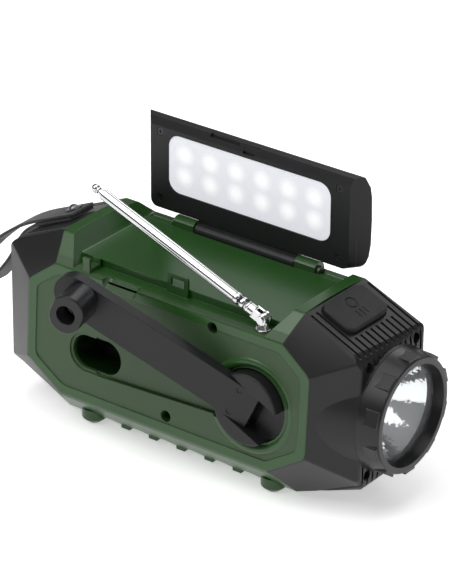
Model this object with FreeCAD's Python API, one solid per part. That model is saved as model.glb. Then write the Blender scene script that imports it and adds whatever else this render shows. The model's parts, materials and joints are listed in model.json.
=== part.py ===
import FreeCAD, Part
import math
import os
from FreeCAD import Placement, Rotation
from FreeCAD import Vector as V

# Emergency radio with a folding crank, a torch in its right end, a telescopic antenna and a
# flip-up reading lamp that carries a solar panel. Units are millimetres. While it is modelled,
# X runs towards the torch, Y towards the display side, Z up, with X = 0 at mid-length, Y = 0 at
# mid-depth and Z = 0 at the underside. export_all() moves the whole to its row origin.

# ---------------------------------------------------------------- driving dimensions
BODY_END_X = 107.3          # flat end of each end cap
BODY_TOP_Z = 97.9           # front edge of the bands beside the lid
REAR_TOP_Z = 96.6           # rear edge of the same bands
TOP_ARCH = 1.0              # how far the bands rise between those edges
TOP_HALF_Y = 24.6
FACE_TOP_Y, FACE_TOP_Z = 36.9, 85.2
FACE_LOW_Y, FACE_LOW_Z = 41.4, 16.2
BOTTOM_HALF_Y = 25.4
WALL = 2.4
SEAM_Y = 24.2               # joint between the crank-side and display-side shells
SEAM_GAP = 0.15

# where green meets black: (x, z) of the panel outline seen square on
BAND_END_X = 73.3
PANEL_TOP_X = 69.1
PANEL_SIDE_X, PANEL_SIDE_HIGH_Z, PANEL_SIDE_LOW_Z = 85.6, 72.5, 30.0
PANEL_LOW_X = 64.1
BOTTOM_END_X = 71.0
PANEL_BORDER = 5.0
PANEL_SINK = 0.5

END_TOP_Z = 82.8
END_SIDE_Y = 26.3
END_LOW_Z, END_LOW_Y, END_BOTTOM_Z = 18.0, 19.5, 11.5

# top recess and the ledge the antenna lies in
DECK_Z = 89.7
LEDGE_Z = 85.6
RIDGE_Y = -26.3
RECESS_FLOOR_X, RECESS_TOP_X = 61.2, 67.1

# crank
HUB_X, HUB_Z = 53.3, 47.6
CRANK_TURN = 23.9           # arm above the -X direction
CRANK_LIFT = 13.2           # arm raised off the face when unfolded
HUB_R, HUB_FRONT, HUB_BACK = 18.5, 6.0, -5.0
PIN_W = 1.2                 # fold pin above the face
ARM_HALF_W, ARM_THICK = 10.0, 6.0
ARM_REACH = 96.2            # fold pin to knob
ARM_TAIL = 2.6
KNOB_L, KNOB_W, KNOB_H = 21.0, 16.7, 16.0
SOCKET_L, SOCKET_W, SOCKET_DEPTH = 29.5, 17.8, 22.0
FOLD_PIN_R = 1.5

# gear train
MAIN_TEETH, PINION_TEETH, MAIN_MODULE = 48, 12, 1.0
WHEEL_TEETH, ROTOR_TEETH, FINE_MODULE = 40, 10, 0.8
GEAR_PRESSURE = 20.0
GEAR_BACKLASH = 0.14
GEAR_EXTRA_GAP = 0.12

# antenna
ANT_X, ANT_Y, ANT_Z = 54.1, -31.5, 91.9
ANT_RAISED = 20.8
ANT_SECTIONS = 5
ANT_OUTER_R, ANT_WALL, ANT_FIT = 2.75, 0.34, 0.05
ANT_TUBE_START, ANT_TUBE_END = 8.6, 103.0
ANT_STEP_OUT = 0.7

# lamp lid, modelled upright as it stands open
LID_Y, LID_HINGE_Z, LID_HINGE_Y = 28.2, 90.0, 28.0
LID_LOW_Z, LID_HIGH_Z = 95.2, 144.0
LID_FACE_X, LID_BACK_X = 60.6, 65.7
LID_END_SLOPE = 0.785       # how far the ends spread per millimetre of depth
LID_CORNER = 4.0
LID_SCREW_X, LID_SCREW_Z = 54.5, (101.2, 137.0)
# back half of the lid's side profile, from the bevel over the free edge down to the hinge edge
LID_BEVEL = ((28.2, 139.9), (29.8, 144.0))
LID_DOME = ((34.2, 144.0), (36.4, 138.5), (37.0, 133.0), (37.2, 121.0), (37.0, 108.0),
            (36.3, 101.5), (34.2, 95.3))
LID_SPLIT_Y, LID_BACK_Y = 31.4, 37.2
SOLAR_Y = 35.3              # floor of the solar panel's pocket
BARREL_R, BARREL_HALF = 3.6, 30.4
KNUCKLE_R = 4.6
KNUCKLE_IN, KNUCKLE_OUT = 31.0, 43.5
LAMP_PITCH_X, LAMP_ROWS_Z = 15.8, (116.2, 127.9)
LAMP_COLUMNS = 6
LAMP_HALF_X, LAMP_LOW_Z, LAMP_HIGH_Z, LAMP_CORNER = 49.5, 106.0, 137.5, 7.0

# torch
TORCH_Z = 47.6
RIM_X, RIM_R = 119.8, 29.2
CONE_X0, CONE_R0, CONE_X1, CONE_R1 = 84.0, 38.6, 108.0, 31.6
LUGS = 10

FOOT_X, FOOT_Y, FOOT_R, FOOT_H = 56.0, 24.0, 6.5, 4.0
PRESS_GAP = 0.3             # clearance round a button

EDGE_ROUND = 2.5
PANEL_CORNER = 6.0
LIP_LOW_ANGLE = 205.0       # where the hub lip runs out, from +X
SOCKET_V = -4.4
SOCKET_X = HUB_X - math.sqrt(ARM_REACH ** 2 - SOCKET_V ** 2)
SOCKET_RIM = 1.5            # step round the mouth of the knob socket
CHANNEL_DEPTH = 2.4
BUSH_R = 6.0
WAVE_COUNT, WAVE_PITCH = 6, 17.4
CASE_SCREWS = ((27.9, 33.0), (2.1, -22.6))
END_SCREW_Y, END_SCREW_Z = 19.5, (77.0, 19.5)
GROOVES, GROOVE_PITCH, GROOVE_W, GROOVE_DEPTH = 12, 4.2, 1.5, 1.0
BUTTON_GROOVE_X = 95.4      # where the grooves beyond the button begin
BUTTON_L, BUTTON_W, BUTTON_X = 20.4, 33.0, 10.9
ANT_SEAT_R = 2.4
HINGE_PIN_R = 1.25
FASCIA_L, FASCIA_H, FASCIA_X, FASCIA_V = 126.0, 56.0, 0.0, 2.0
TORCH_BORE_R = 27.0
LENS_R = 26.0
FOLD_PIN_HALF = 13.0
AXLE_R = 2.4
KNOB_HOLE_R, KNOB_HOLE = 5.0, 11.0
SHAFT_R = 3.6
TRAIN_TURN_1, TRAIN_TURN_2 = 150.0, 200.0
PLATE_W = -23.5             # gearbox plate behind the face
PLATE_POSTS = ((-4.0, 25.0), (20.0, -17.0), (43.0, 29.5))
GEAR_PIN_R = 1.5
RIVET_R = 1.0
KEYS, KEY_X0, KEY_PITCH, KEY_V = 5, 4.0, 12.0, -19.5
KEY_NAMES = ("power_key", "band_key", "tune_down_key", "tune_up_key", "alarm_key")
KEY_L, KEY_H = 9.0, 6.0
DISPLAY_L, DISPLAY_H, DISPLAY_X, DISPLAY_V = 56.0, 32.0, 27.0, 8.0
SPEAKER_X, SPEAKER_V = -34.0, 7.0
PORT_L, PORT_H, PORT_X, PORT_V = 32.0, 8.6, -34.0, -19.5
BEAD_R, BEAD_W = 1.05, -0.15    # hinge bead of the port cover
STRAP_W, STRAP_T = 18.0, 1.8
STRAP_IN_X, STRAP_TURN_X = 82.0, 113.0
STRAP_LAYER = 2.1           # rise of the upper end of the strap over the lower one
PIN_HEAD_R, PIN_HEAD_L = 2.6, 1.6
END_SCREW_R, END_HEAD_R = 1.3, 2.4

# ---------------------------------------------------------------- helpers
X_AXIS, Y_AXIS, Z_AXIS = V(1, 0, 0), V(0, 1, 0), V(0, 0, 1)


def box(x0, x1, y0, y1, z0, z1):
    return Part.makeBox(x1 - x0, y1 - y0, z1 - z0, V(x0, y0, z0))


def rod(radius, start, axis, length):
    return Part.makeCylinder(radius, length, start, axis)


def cone(r0, r1, start, axis, length):
    return Part.makeCone(r0, r1, length, start, axis)


def fuse(shapes):
    shapes = list(shapes)
    if len(shapes) == 1:
        return shapes[0]
    return shapes[0].multiFuse(shapes[1:]).removeSplitter()


def cut(shape, *tools):
    for tool in tools:
        shape = shape.cut(tool)
    return shape


def polygon_prism(points, thickness):
    """Extrude a closed polygon of Vectors along a vector."""
    wire = Part.makePolygon(list(points) + [points[0]])
    return Part.Face(wire).extrude(thickness)


def xz_prism(points, y0, y1):
    return polygon_prism([V(x, y0, z) for x, z in points], V(0, y1 - y0, 0))


def yz_prism(points, x0, x1):
    return polygon_prism([V(x0, y, z) for y, z in points], V(x1 - x0, 0, 0))


def rounded_block(length, width, corner, z0, z1, cx=0.0, cy=0.0):
    """Block in local XY with rounded upright edges, from z0 to z1."""
    hx, hy = length / 2, width / 2
    r = min(corner, hx - 0.001, hy - 0.001)
    solid = Part.makeBox(length, width, z1 - z0, V(cx - hx, cy - hy, z0))
    upright = [e for e in solid.Edges if abs(e.tangentAt(e.FirstParameter).z) > 0.99]
    return solid.makeFillet(r, upright)


def soften(shape, radius, pick):
    """Fillet the edges that pick() accepts, or leave the shape when the kernel cannot."""
    edges = [e for e in shape.Edges if pick(e)]
    if not edges:
        return shape
    try:
        smooth = shape.makeFillet(radius, edges)
    except Exception:
        return shape
    if smooth.isValid() and smooth.Volume > 0 and smooth.Solids:
        return smooth
    return shape


def placed(shape, placement):
    moved = shape.copy()
    moved.Placement = placement.multiply(moved.Placement)
    return moved


# The crank face leans back: local X along the body, local Y up the face, local Z outwards.
FACE_LEAN = math.degrees(math.atan2(FACE_LOW_Y - FACE_TOP_Y, FACE_TOP_Z - FACE_LOW_Z))
FACE_Y_AT_HUB = -(FACE_TOP_Y + (FACE_TOP_Z - HUB_Z) * math.tan(math.radians(FACE_LEAN)))
FRONT = Placement(V(0, FACE_Y_AT_HUB, HUB_Z), Rotation(X_AXIS, 90 - FACE_LEAN))
REAR = Placement(V(0, -FACE_Y_AT_HUB, HUB_Z),
                 Rotation(Z_AXIS, 180).multiply(Rotation(X_AXIS, 90 - FACE_LEAN)))


def face_v(z):
    """Height up the leaning face of a point at height z."""
    return (z - HUB_Z) / math.cos(math.radians(FACE_LEAN))


# ---------------------------------------------------------------- outer form
def top_z(y):
    """Flat top of the end caps between the front and rear band edges."""
    return BODY_TOP_Z + (REAR_TOP_Z - BODY_TOP_Z) * (y + TOP_HALF_Y) / (2 * TOP_HALF_Y)


def face_y(z):
    """Distance of the leaning crank face from mid-depth at height z."""
    return FACE_TOP_Y + (FACE_TOP_Z - z) * math.tan(math.radians(FACE_LEAN))


def end_top_z(y):
    return END_TOP_Z + (REAR_TOP_Z - BODY_TOP_Z) * (y + END_SIDE_Y) / (2 * TOP_HALF_Y)


def ruled(a, b, c, d):
    """Surface between the straight edges a-b and d-c."""
    return Part.makeRuledSurface(Part.makeLine(a, b), Part.makeLine(d, c))


def flat(*points):
    return Part.Face(Part.makePolygon(list(points) + [points[0]]))


def envelope(inset=0.0):
    """Closed outer form of the housing; inset moves every wall in by about that much."""
    k = inset
    brow, high = FACE_TOP_Z - 0.6 * k, PANEL_SIDE_HIGH_Z - 0.3 * k
    low, foot = PANEL_SIDE_LOW_Z + 0.3 * k, FACE_LOW_Z + 0.4 * k
    faces = []
    corner = {}
    for sx in (-1, 1):
        for sy in (-1, 1):
            p = {
                "A": V(sx * BAND_END_X, sy * (TOP_HALF_Y - 0.4 * k), top_z(sy * TOP_HALF_Y) - k),
                "B": V(sx * (PANEL_TOP_X - 0.2 * k), sy * (face_y(brow) - k), brow),
                "C": V(sx * (PANEL_SIDE_X - 0.4 * k), sy * (face_y(high) - k), high),
                "E": V(sx * (PANEL_SIDE_X - 0.4 * k), sy * (face_y(low) - k), low),
                "H": V(sx * (PANEL_LOW_X - 0.2 * k), sy * (face_y(foot) - k), foot),
                "I": V(sx * BOTTOM_END_X, sy * (BOTTOM_HALF_Y - 0.4 * k), k),
                "D": V(sx * (BODY_END_X - k), sy * (END_SIDE_Y - k), end_top_z(sy * END_SIDE_Y) - 0.8 * k),
                "G": V(sx * (BODY_END_X - k), sy * (END_SIDE_Y - k), END_LOW_Z + 0.3 * k),
                "K": V(sx * (BODY_END_X - k), sy * (END_LOW_Y - 0.5 * k), END_BOTTOM_Z + k),
            }
            corner[sx, sy] = p
            faces.append(ruled(p["A"], p["B"], p["C"], p["D"]))
            faces.append(ruled(p["C"], p["E"], p["G"], p["D"]))
            faces.append(flat(p["E"], p["H"], p["I"]))
            faces.append(ruled(p["E"], p["I"], p["K"], p["G"]))
    for sy in (-1, 1):
        left, right = corner[-1, sy], corner[1, sy]
        faces.append(flat(right["B"], right["C"], right["E"], right["H"],
                          left["H"], left["E"], left["C"], left["B"]))
        faces.append(flat(left["A"], right["A"], right["B"], left["B"]))
        faces.append(flat(left["H"], right["H"], right["I"], left["I"]))
    for sx in (-1, 1):
        front, rear = corner[sx, -1], corner[sx, 1]
        faces.append(ruled(front["A"], rear["A"], rear["D"], front["D"]))
        faces.append(flat(front["D"], rear["D"], rear["G"], rear["K"], front["K"], front["G"]))
        faces.append(flat(front["I"], rear["I"], rear["K"], front["K"]))
    a, b = corner[-1, -1], corner[1, -1]
    c, d = corner[1, 1], corner[-1, 1]
    faces.append(flat(a["A"], b["A"], c["A"], d["A"]))
    faces.append(flat(a["I"], b["I"], c["I"], d["I"]))
    skin = Part.makeCompound(faces)
    skin.sewShape(0.01)
    solid = Part.Solid(skin.Shells[0])
    if solid.Volume < 0:
        solid.reverse()
    return Part.Solid(Part.Shell(solid.Faces))


def soft_envelope():
    """The outer form with its edges rounded and the end faces rolled over, top and bottom."""
    solid = envelope()
    solid = soften(solid, EDGE_ROUND, lambda edge: True)
    for sx in (-1, 1):
        for corner_z, slope_z, radius in ((END_TOP_Z, BODY_TOP_Z, 11.0), (END_BOTTOM_Z, 0.0, 7.0)):
            run_x = BODY_END_X - (BAND_END_X if slope_z else BOTTOM_END_X)
            drop = corner_z - slope_z
            slope = math.atan2(abs(drop), run_x)
            up = 1 if slope_z else -1
            back = radius * math.tan((math.pi / 2 - slope) / 2)
            start = (BODY_END_X - back * math.cos(slope), corner_z + up * back * math.sin(slope))
            middle_turn = slope + (math.pi / 2 - slope) / 2
            centre = (BODY_END_X - radius, corner_z - up * back)
            mid = (centre[0] + radius * math.sin(middle_turn),
                   centre[1] + up * radius * math.cos(middle_turn))
            p0 = V(sx * start[0], -60, start[1])
            p1 = V(sx * mid[0], -60, mid[1])
            p2 = V(sx * BODY_END_X, -60, corner_z - up * back)
            far = V(sx * (BODY_END_X + 30), -60, corner_z + up * 30)
            low = V(sx * (BODY_END_X + 30), -60, corner_z - up * back)
            high = V(sx * start[0], -60, corner_z + up * 30)
            wire = Part.Wire([Part.Arc(p0, p1, p2).toShape(), Part.makeLine(p2, low),
                              Part.makeLine(low, far), Part.makeLine(far, high), Part.makeLine(high, p0)])
            solid = solid.cut(Part.Face(wire).extrude(V(0, 120, 0)))
    return solid


def green_zone():
    """Prism through the depth that divides the green shells from the black caps."""
    half = [(BAND_END_X, 120), (BAND_END_X, BODY_TOP_Z), (PANEL_TOP_X, FACE_TOP_Z),
            (PANEL_SIDE_X, PANEL_SIDE_HIGH_Z), (PANEL_SIDE_X, PANEL_SIDE_LOW_Z),
            (PANEL_LOW_X, FACE_LOW_Z), (BOTTOM_END_X, 0), (BOTTOM_END_X, -10)]
    outline = half + [(-x, z) for x, z in reversed(half)]
    prism = xz_prism(outline, -60, 60)
    for x in (-PANEL_SIDE_X, PANEL_SIDE_X):
        prism = soften(prism, PANEL_CORNER, lambda e, x=x: abs(e.BoundBox.XMin - x) < 0.01
                       and e.BoundBox.YLength > 100)
    return prism


def panel_outline(inset, depth_out, depth_in):
    """Octagon of the crank face, drawn in by inset, as a block in face coordinates."""
    pts = [(PANEL_TOP_X - 0.45 * inset, face_v(FACE_TOP_Z) - inset),
           (PANEL_SIDE_X - inset, face_v(PANEL_SIDE_HIGH_Z) - 0.45 * inset),
           (PANEL_SIDE_X - inset, face_v(PANEL_SIDE_LOW_Z) + 0.5 * inset),
           (PANEL_LOW_X - 0.3 * inset, face_v(FACE_LOW_Z) + inset)]
    ring = pts + [(-x, v) for x, v in reversed(pts)]
    block = polygon_prism([V(x, v, depth_in) for x, v in ring], V(0, 0, depth_out - depth_in))
    upright = [e for e in block.Edges if e.BoundBox.ZLength > 0.4 and e.BoundBox.XLength < 0.01
               and e.BoundBox.YLength < 0.01]
    return block.makeFillet(PANEL_CORNER, upright)


def oriented(origin, direction, across):
    """Placement that takes local X to direction and local Z close to across."""
    x = V(direction).normalize()
    z = (V(across) - x * V(across).dot(x)).normalize()
    y = z.cross(x)
    return Placement(V(origin), Rotation(x, y, z, "ZXY"))


# ---------------------------------------------------------------- housing
def recess_cut():
    """Space of the folded lid between the bands, and the ledge in front of it."""
    slope = (RECESS_TOP_X - RECESS_FLOOR_X) / (BODY_TOP_Z - DECK_Z)

    def half_x(z):
        return RECESS_FLOOR_X + slope * (z - DECK_Z)

    high = 115.0
    deck = xz_prism([(-half_x(DECK_Z), DECK_Z), (half_x(DECK_Z), DECK_Z),
                     (half_x(high), high), (-half_x(high), high)], RIDGE_Y, 60)
    deck = soften(deck, 2.0, lambda e: e.BoundBox.YLength > 80 and e.BoundBox.ZMax < DECK_Z + 0.1)
    ledge = xz_prism([(-half_x(LEDGE_Z), LEDGE_Z), (half_x(LEDGE_Z), LEDGE_Z),
                      (half_x(high), high), (-half_x(high), high)], -60, RIDGE_Y)
    return deck.fuse(ledge)


def cavity():
    """Hollow inside the housing, kept below the deck and behind the walls of the recess."""
    inner = envelope(WALL)
    under_deck = DECK_Z - 2 * WALL - 1.4
    reach = RECESS_TOP_X + WALL
    return inner.cut(box(-reach, reach, -60, 60, under_deck, 120))


def hub_lip():
    """Raised ring round the crank hub that sinks into the face on its lower left."""
    ring = Part.makeTorus(22.4, 3.0, V(0, 0, 0), Z_AXIS)
    tilt_axis = V(math.cos(math.radians(LIP_LOW_ANGLE + 90)), math.sin(math.radians(LIP_LOW_ANGLE + 90)), 0)
    ring = placed(ring, Placement(V(HUB_X, 0, -2.1), Rotation(tilt_axis, -2.6)))
    return placed(ring.common(box(0, 110, -60, 60, -1.6, 10)), FRONT)


def crank_channel():
    """Shallow run in the face for the folded arm, from the hub to the knob socket."""
    reach = math.hypot(SOCKET_X - HUB_X, SOCKET_V)
    block = rounded_block(reach, 2 * ARM_HALF_W + 1.2, 2.0, -CHANNEL_DEPTH, 5, cx=reach / 2)
    turn = math.degrees(math.atan2(SOCKET_V, SOCKET_X - HUB_X))
    block = placed(block, Placement(V(HUB_X, 0, 0), Rotation(Z_AXIS, turn)))
    return placed(block, FRONT)


def knob_socket(grow, depth):
    """Long round pocket that takes the folded knob, as a block in world coordinates."""
    block = rounded_block(SOCKET_L + 2 * grow, SOCKET_W + 2 * grow, SOCKET_W / 2 + grow - 0.01,
                          -depth, 8, SOCKET_X, SOCKET_V)
    return placed(block, FRONT)


def foot(x, y):
    """Moulded foot with a small flat to stand on."""
    base = cone(3.4, FOOT_R, V(x, y, -FOOT_H), Z_AXIS, 2.6)
    stem = rod(FOOT_R, V(x, y, -FOOT_H + 2.6), Z_AXIS, FOOT_H + 1.6)
    whole = base.fuse(stem).removeSplitter()
    return soften(whole, 1.4, lambda e: abs(e.BoundBox.ZMax + FOOT_H - 2.6) < 0.05 and e.BoundBox.XLength > 5)


def underside_waves():
    """Shallow scoops across the underside that leave a row of low humps."""
    cutters = []
    for index in range(WAVE_COUNT):
        x = (index - (WAVE_COUNT - 1) / 2) * WAVE_PITCH
        cutters.append(rod(9.0, V(x, -60, -7.0), Y_AXIS, 120))
    return cutters


def underside_ribs():
    ribs = []
    for index in range(WAVE_COUNT - 1):
        x = (index - (WAVE_COUNT - 2) / 2) * WAVE_PITCH
        ribs.append(box(x - 2.6, x + 2.6, -BOTTOM_HALF_Y - 0.5, BOTTOM_HALF_Y + 0.5, -1.3, 1.5))
    return ribs


def screw_bore(x, v, side, radius=3.0, depth=9.0):
    """Counterbore for a case screw in the crank face or the display face."""
    return placed(rod(radius, V(x, v, -depth), Z_AXIS, depth + 5), side)


def antenna_clip():
    """Two prongs that hold the folded antenna."""
    base = box(-52.2, -48.0, -36.2, -27.0, LEDGE_Z - 0.5, LEDGE_Z + 2.2)
    front = box(-52.2, -48.0, -36.2, -34.8, LEDGE_Z, 93.4)
    rear = box(-52.2, -48.0, -28.2, -27.0, LEDGE_Z, 90.6)
    clip = fuse([base, front, rear])
    return soften(clip, 2.4, lambda e: abs(e.tangentAt(e.FirstParameter).y) > 0.99
                  and e.BoundBox.ZMin > 90)


def latch_tab():
    """Upright tab with a window that the closed lid snaps over."""
    tab = box(-6.2, 6.2, -28.2, -26.7, LEDGE_Z - 0.5, 96.3)
    tab = soften(tab, 1.6, lambda e: abs(e.tangentAt(e.FirstParameter).y) > 0.99 and e.BoundBox.ZMin > 90)
    return tab.cut(box(-4.0, 4.0, -30, -25, 90.2, 94.2))


def finger_scoop():
    """Cut-away in the front edge of the ledge for lifting the antenna."""
    wedge = yz_prism([(-45, 75.5), (-32.2, LEDGE_Z - 0.9), (-32.2, 95), (-45, 95)], -39.5, -18.0)
    return soften(wedge, 3.0, lambda e: e.BoundBox.XLength < 0.01 and e.BoundBox.YLength > 10
                  and e.BoundBox.ZMax < 90)


def end_screw_bores(sign):
    bores = []
    for y in (-END_SCREW_Y, END_SCREW_Y):
        for z in END_SCREW_Z:
            outwards = V(sign, 0, 0)
            bores.append(rod(END_HEAD_R + 0.3, V(sign * (BODY_END_X - 4.0), y, z), outwards, 14))
            bores.append(rod(END_SCREW_R, V(sign * (BODY_END_X - 13.0), y, z), outwards, 14))
    return bores


def end_screw_bosses(sign):
    return [rod(4.2, V(sign * (BODY_END_X - 14.0), y, z), V(sign, 0, 0), 14)
            for y in (-END_SCREW_Y, END_SCREW_Y) for z in END_SCREW_Z]


def end_grooves(sign):
    """Grip grooves that run along each cap and down its end face."""
    core = envelope(GROOVE_DEPTH)
    slabs = []
    for index in range(GROOVES):
        y = (index - (GROOVES - 1) / 2) * GROOVE_PITCH
        start = BUTTON_GROOVE_X if abs(y) < BUTTON_W / 2 + 1.5 else BAND_END_X + 2.5
        x0, x1 = sorted((sign * start, sign * 120))
        slabs.append(box(x0, x1, y - GROOVE_W / 2, y + GROOVE_W / 2, -5, 110))
    return Part.makeCompound(slabs).cut(core)


def slope_frame(sign):
    """Frame on the top slope of a cap: local X outwards along the slope, local Z off it."""
    length = BODY_END_X - BAND_END_X
    direction = V(sign * length, 0, end_top_z(0) - top_z(0))
    middle = V(sign * (BAND_END_X + BUTTON_X), 0, top_z(0) + (end_top_z(0) - top_z(0)) * BUTTON_X / length)
    return oriented(middle, direction, Z_AXIS)


def hinge_knuckle(sign):
    """Green half of the lid hinge, standing on the rear edge of the deck."""
    x0, x1 = sorted((sign * KNUCKLE_IN, sign * KNUCKLE_OUT))
    eye = rod(KNUCKLE_R, V(x0, LID_HINGE_Y, LID_HINGE_Z), X_AXIS, x1 - x0)
    web = box(x0, x1, LID_HINGE_Y - KNUCKLE_R, LID_HINGE_Y + KNUCKLE_R, LID_HINGE_Z - 6.5, LID_HINGE_Z)
    whole = eye.fuse(web).removeSplitter()
    return whole.common(box(x0 - 1, x1 + 1, SEAM_Y + SEAM_GAP, 60, 0, 120))


def hinge_trough():
    """Room behind the deck for the turning barrel of the lid."""
    radius = BARREL_R + 0.5
    clear = rod(radius, V(-KNUCKLE_IN, LID_HINGE_Y, LID_HINGE_Z), X_AXIS, 2 * KNUCKLE_IN)
    above = box(-KNUCKLE_IN, KNUCKLE_IN, LID_HINGE_Y - radius, 60, LID_HINGE_Z, 120)
    tools = [clear, above]
    for sign in (-1, 1):
        x0, x1 = sorted((sign * KNUCKLE_OUT, sign * (KNUCKLE_OUT + PIN_HEAD_L + 0.3)))
        tools.append(rod(PIN_HEAD_R + 0.1, V(x0, LID_HINGE_Y, LID_HINGE_Z), X_AXIS, x1 - x0))
        tools.append(box(x0, x1, LID_HINGE_Y - PIN_HEAD_R - 0.1, 60, LID_HINGE_Z, 120))
    return fuse(tools)


def housing():
    """The two green shells, the two black caps and the feet under them."""
    outer = soft_envelope()
    arch_rise = TOP_ARCH
    hollow = cavity()
    zone = green_zone()
    green = outer.common(zone)
    # bands: a low arch over the flat top
    radius = (TOP_HALF_Y ** 2 + arch_rise ** 2) / (2 * arch_rise)
    lean = math.degrees(math.atan2(REAR_TOP_Z - BODY_TOP_Z, 2 * TOP_HALF_Y))
    crown = rod(radius, V(-BAND_END_X, 0, 0), X_AXIS, 2 * BAND_END_X)
    crown = placed(crown, Placement(V(0, 0, top_z(0) + arch_rise - radius), Rotation(X_AXIS, 0)))
    crown = crown.common(box(-BAND_END_X, BAND_END_X, -TOP_HALF_Y + 0.6, TOP_HALF_Y - 0.6, 90, 110))
    crown = placed(crown, Placement(V(0, 0, 0), Rotation(X_AXIS, lean), V(0, 0, top_z(0)))).common(zone)
    green = fuse([green, crown])
    green = cut(green, recess_cut(), *underside_waves())
    green = green.cut(hollow)
    green = fuse([green] + underside_ribs())
    crank_side = green.common(box(-120, 120, -60, SEAM_Y - SEAM_GAP / 2, -10, 120))
    display_side = green.common(box(-120, 120, SEAM_Y + SEAM_GAP / 2, 60, -10, 120))

    # crank side: hub well, knob socket, arm channel, clip and latch
    inner_panel = placed(panel_outline(PANEL_BORDER, 5, -PANEL_SINK), FRONT)
    crank_side = crank_side.cut(inner_panel)
    well = placed(rod(HUB_R + 2.4, V(HUB_X, 0, -8.6), Z_AXIS, 8.0), FRONT)
    boss = placed(rod(7.6, V(HUB_X, 0, -12.4), Z_AXIS, 6.0), FRONT)
    cup = knob_socket(1.8, SOCKET_DEPTH + 1.8).common(placed(box(-100, 100, -60, 60, -40, -0.6), FRONT))
    channel_back = crank_channel().copy()
    channel_back.translate(V(0, WALL + 0.4, 0))
    channel_back = channel_back.common(placed(box(-100, HUB_X, -60, 60, -6, -0.6), FRONT))
    screw_posts = []
    for x, v in CASE_SCREWS:
        screw_posts.append(placed(rod(4.6, V(x, v, -16), Z_AXIS, 15.4), FRONT))
    crank_side = fuse([crank_side, well, boss, cup, channel_back, hub_lip()] + screw_posts)
    bores = [placed(rod(HUB_R + 0.6, V(HUB_X, 0, HUB_BACK - 0.6), Z_AXIS, 12), FRONT),
             placed(rod(BUSH_R, V(HUB_X, 0, -20), Z_AXIS, 25), FRONT),
             knob_socket(0.0, SOCKET_DEPTH), crank_channel(), finger_scoop()]
    rim = rounded_block(SOCKET_L + 2 * SOCKET_RIM, SOCKET_W + 2 * SOCKET_RIM, SOCKET_W / 2 + SOCKET_RIM - 0.1,
                        -1.4, 8, SOCKET_X, SOCKET_V)
    bores.append(placed(rim, FRONT))
    bores += [screw_bore(x, v, FRONT) for x, v in CASE_SCREWS]
    bores += [placed(rod(1.3, V(x, v, -15), Z_AXIS, 10), FRONT) for x, v in CASE_SCREWS]
    crank_side = cut(crank_side, *bores)
    crank_side = fuse([crank_side, antenna_clip(), latch_tab()])
    mast_seat = rod(ANT_SEAT_R + 1.5, V(ANT_X, ANT_Y, LEDGE_Z - 9.0), Z_AXIS, 8.0)
    mast_bore = rod(ANT_SEAT_R, V(ANT_X, ANT_Y, LEDGE_Z - 12), Z_AXIS, 20)
    crank_side = crank_side.fuse(mast_seat).cut(mast_bore)

    # display side: hinge knuckles, fascia opening, port opening
    display_side = cut(display_side, hinge_trough())
    display_side = fuse([display_side, hinge_knuckle(-1), hinge_knuckle(1)])
    pin_bore = rod(HINGE_PIN_R, V(-60, LID_HINGE_Y, LID_HINGE_Z), X_AXIS, 120)
    opening = placed(rounded_block(FASCIA_L - 4, FASCIA_H - 4, 7, -20, 20, FASCIA_X, FASCIA_V), REAR)
    seat = placed(rounded_block(FASCIA_L + 0.3, FASCIA_H + 0.3, 8, -1.6, 20, FASCIA_X, FASCIA_V), REAR)
    display_side = cut(display_side, pin_bore, opening, seat)

    caps = {}
    black = outer.cut(zone).cut(hollow)
    for sign, name in ((-1, "left_end_cap"), (1, "right_end_cap")):
        x0, x1 = sorted((sign * 40, sign * 140))
        cap = black.common(box(x0, x1, -60, 60, -10, 120))
        cap = fuse([cap] + [boss.common(outer) for boss in end_screw_bosses(sign)])
        cap = cut(cap, end_grooves(sign))
        if sign > 0:
            horn = cone(CONE_R0, CONE_R1, V(CONE_X0, 0, TORCH_Z), X_AXIS, CONE_X1 - CONE_X0)
            horn = horn.cut(envelope(1.2)).cut(zone)
            horn = horn.cut(box(60, 140, -60, 60, END_TOP_Z - 0.5, 120))
            cap = fuse([cap, horn])
            cap = cut(cap, rod(TORCH_BORE_R, V(80, 0, TORCH_Z), X_AXIS, 60))
            frame = slope_frame(1)
            cap = cap.cut(placed(rounded_block(BUTTON_L + 2 * PRESS_GAP, BUTTON_W + 2 * PRESS_GAP, 5.3,
                                               -12, 12), frame))
        cap = cut(cap, *end_screw_bores(sign))
        caps[name] = cap
    feet = [foot(sx * FOOT_X, sy * FOOT_Y).cut(outer) for sx in (-1, 1) for sy in (-1, 1)]
    return crank_side, display_side, caps, Part.makeCompound(feet)


# ---------------------------------------------------------------- crank
def crank_frame():
    """Frame at the fold pin: local X along the raised arm, local Z off its front, local Y across."""
    turn = math.radians(CRANK_TURN)
    lift = math.radians(CRANK_LIFT)
    flat_dir = V(-math.cos(turn), math.sin(turn), 0)
    raised = flat_dir * math.cos(lift) + Z_AXIS * math.sin(lift)
    return FRONT.multiply(oriented(V(HUB_X, 0, PIN_W), raised, Z_AXIS))


def hub_frame():
    """Frame on the face at the hub centre, turned with the crank."""
    turn = math.radians(CRANK_TURN)
    return FRONT.multiply(oriented(V(HUB_X, 0, 0), V(-math.cos(turn), math.sin(turn), 0), Z_AXIS))


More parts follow.
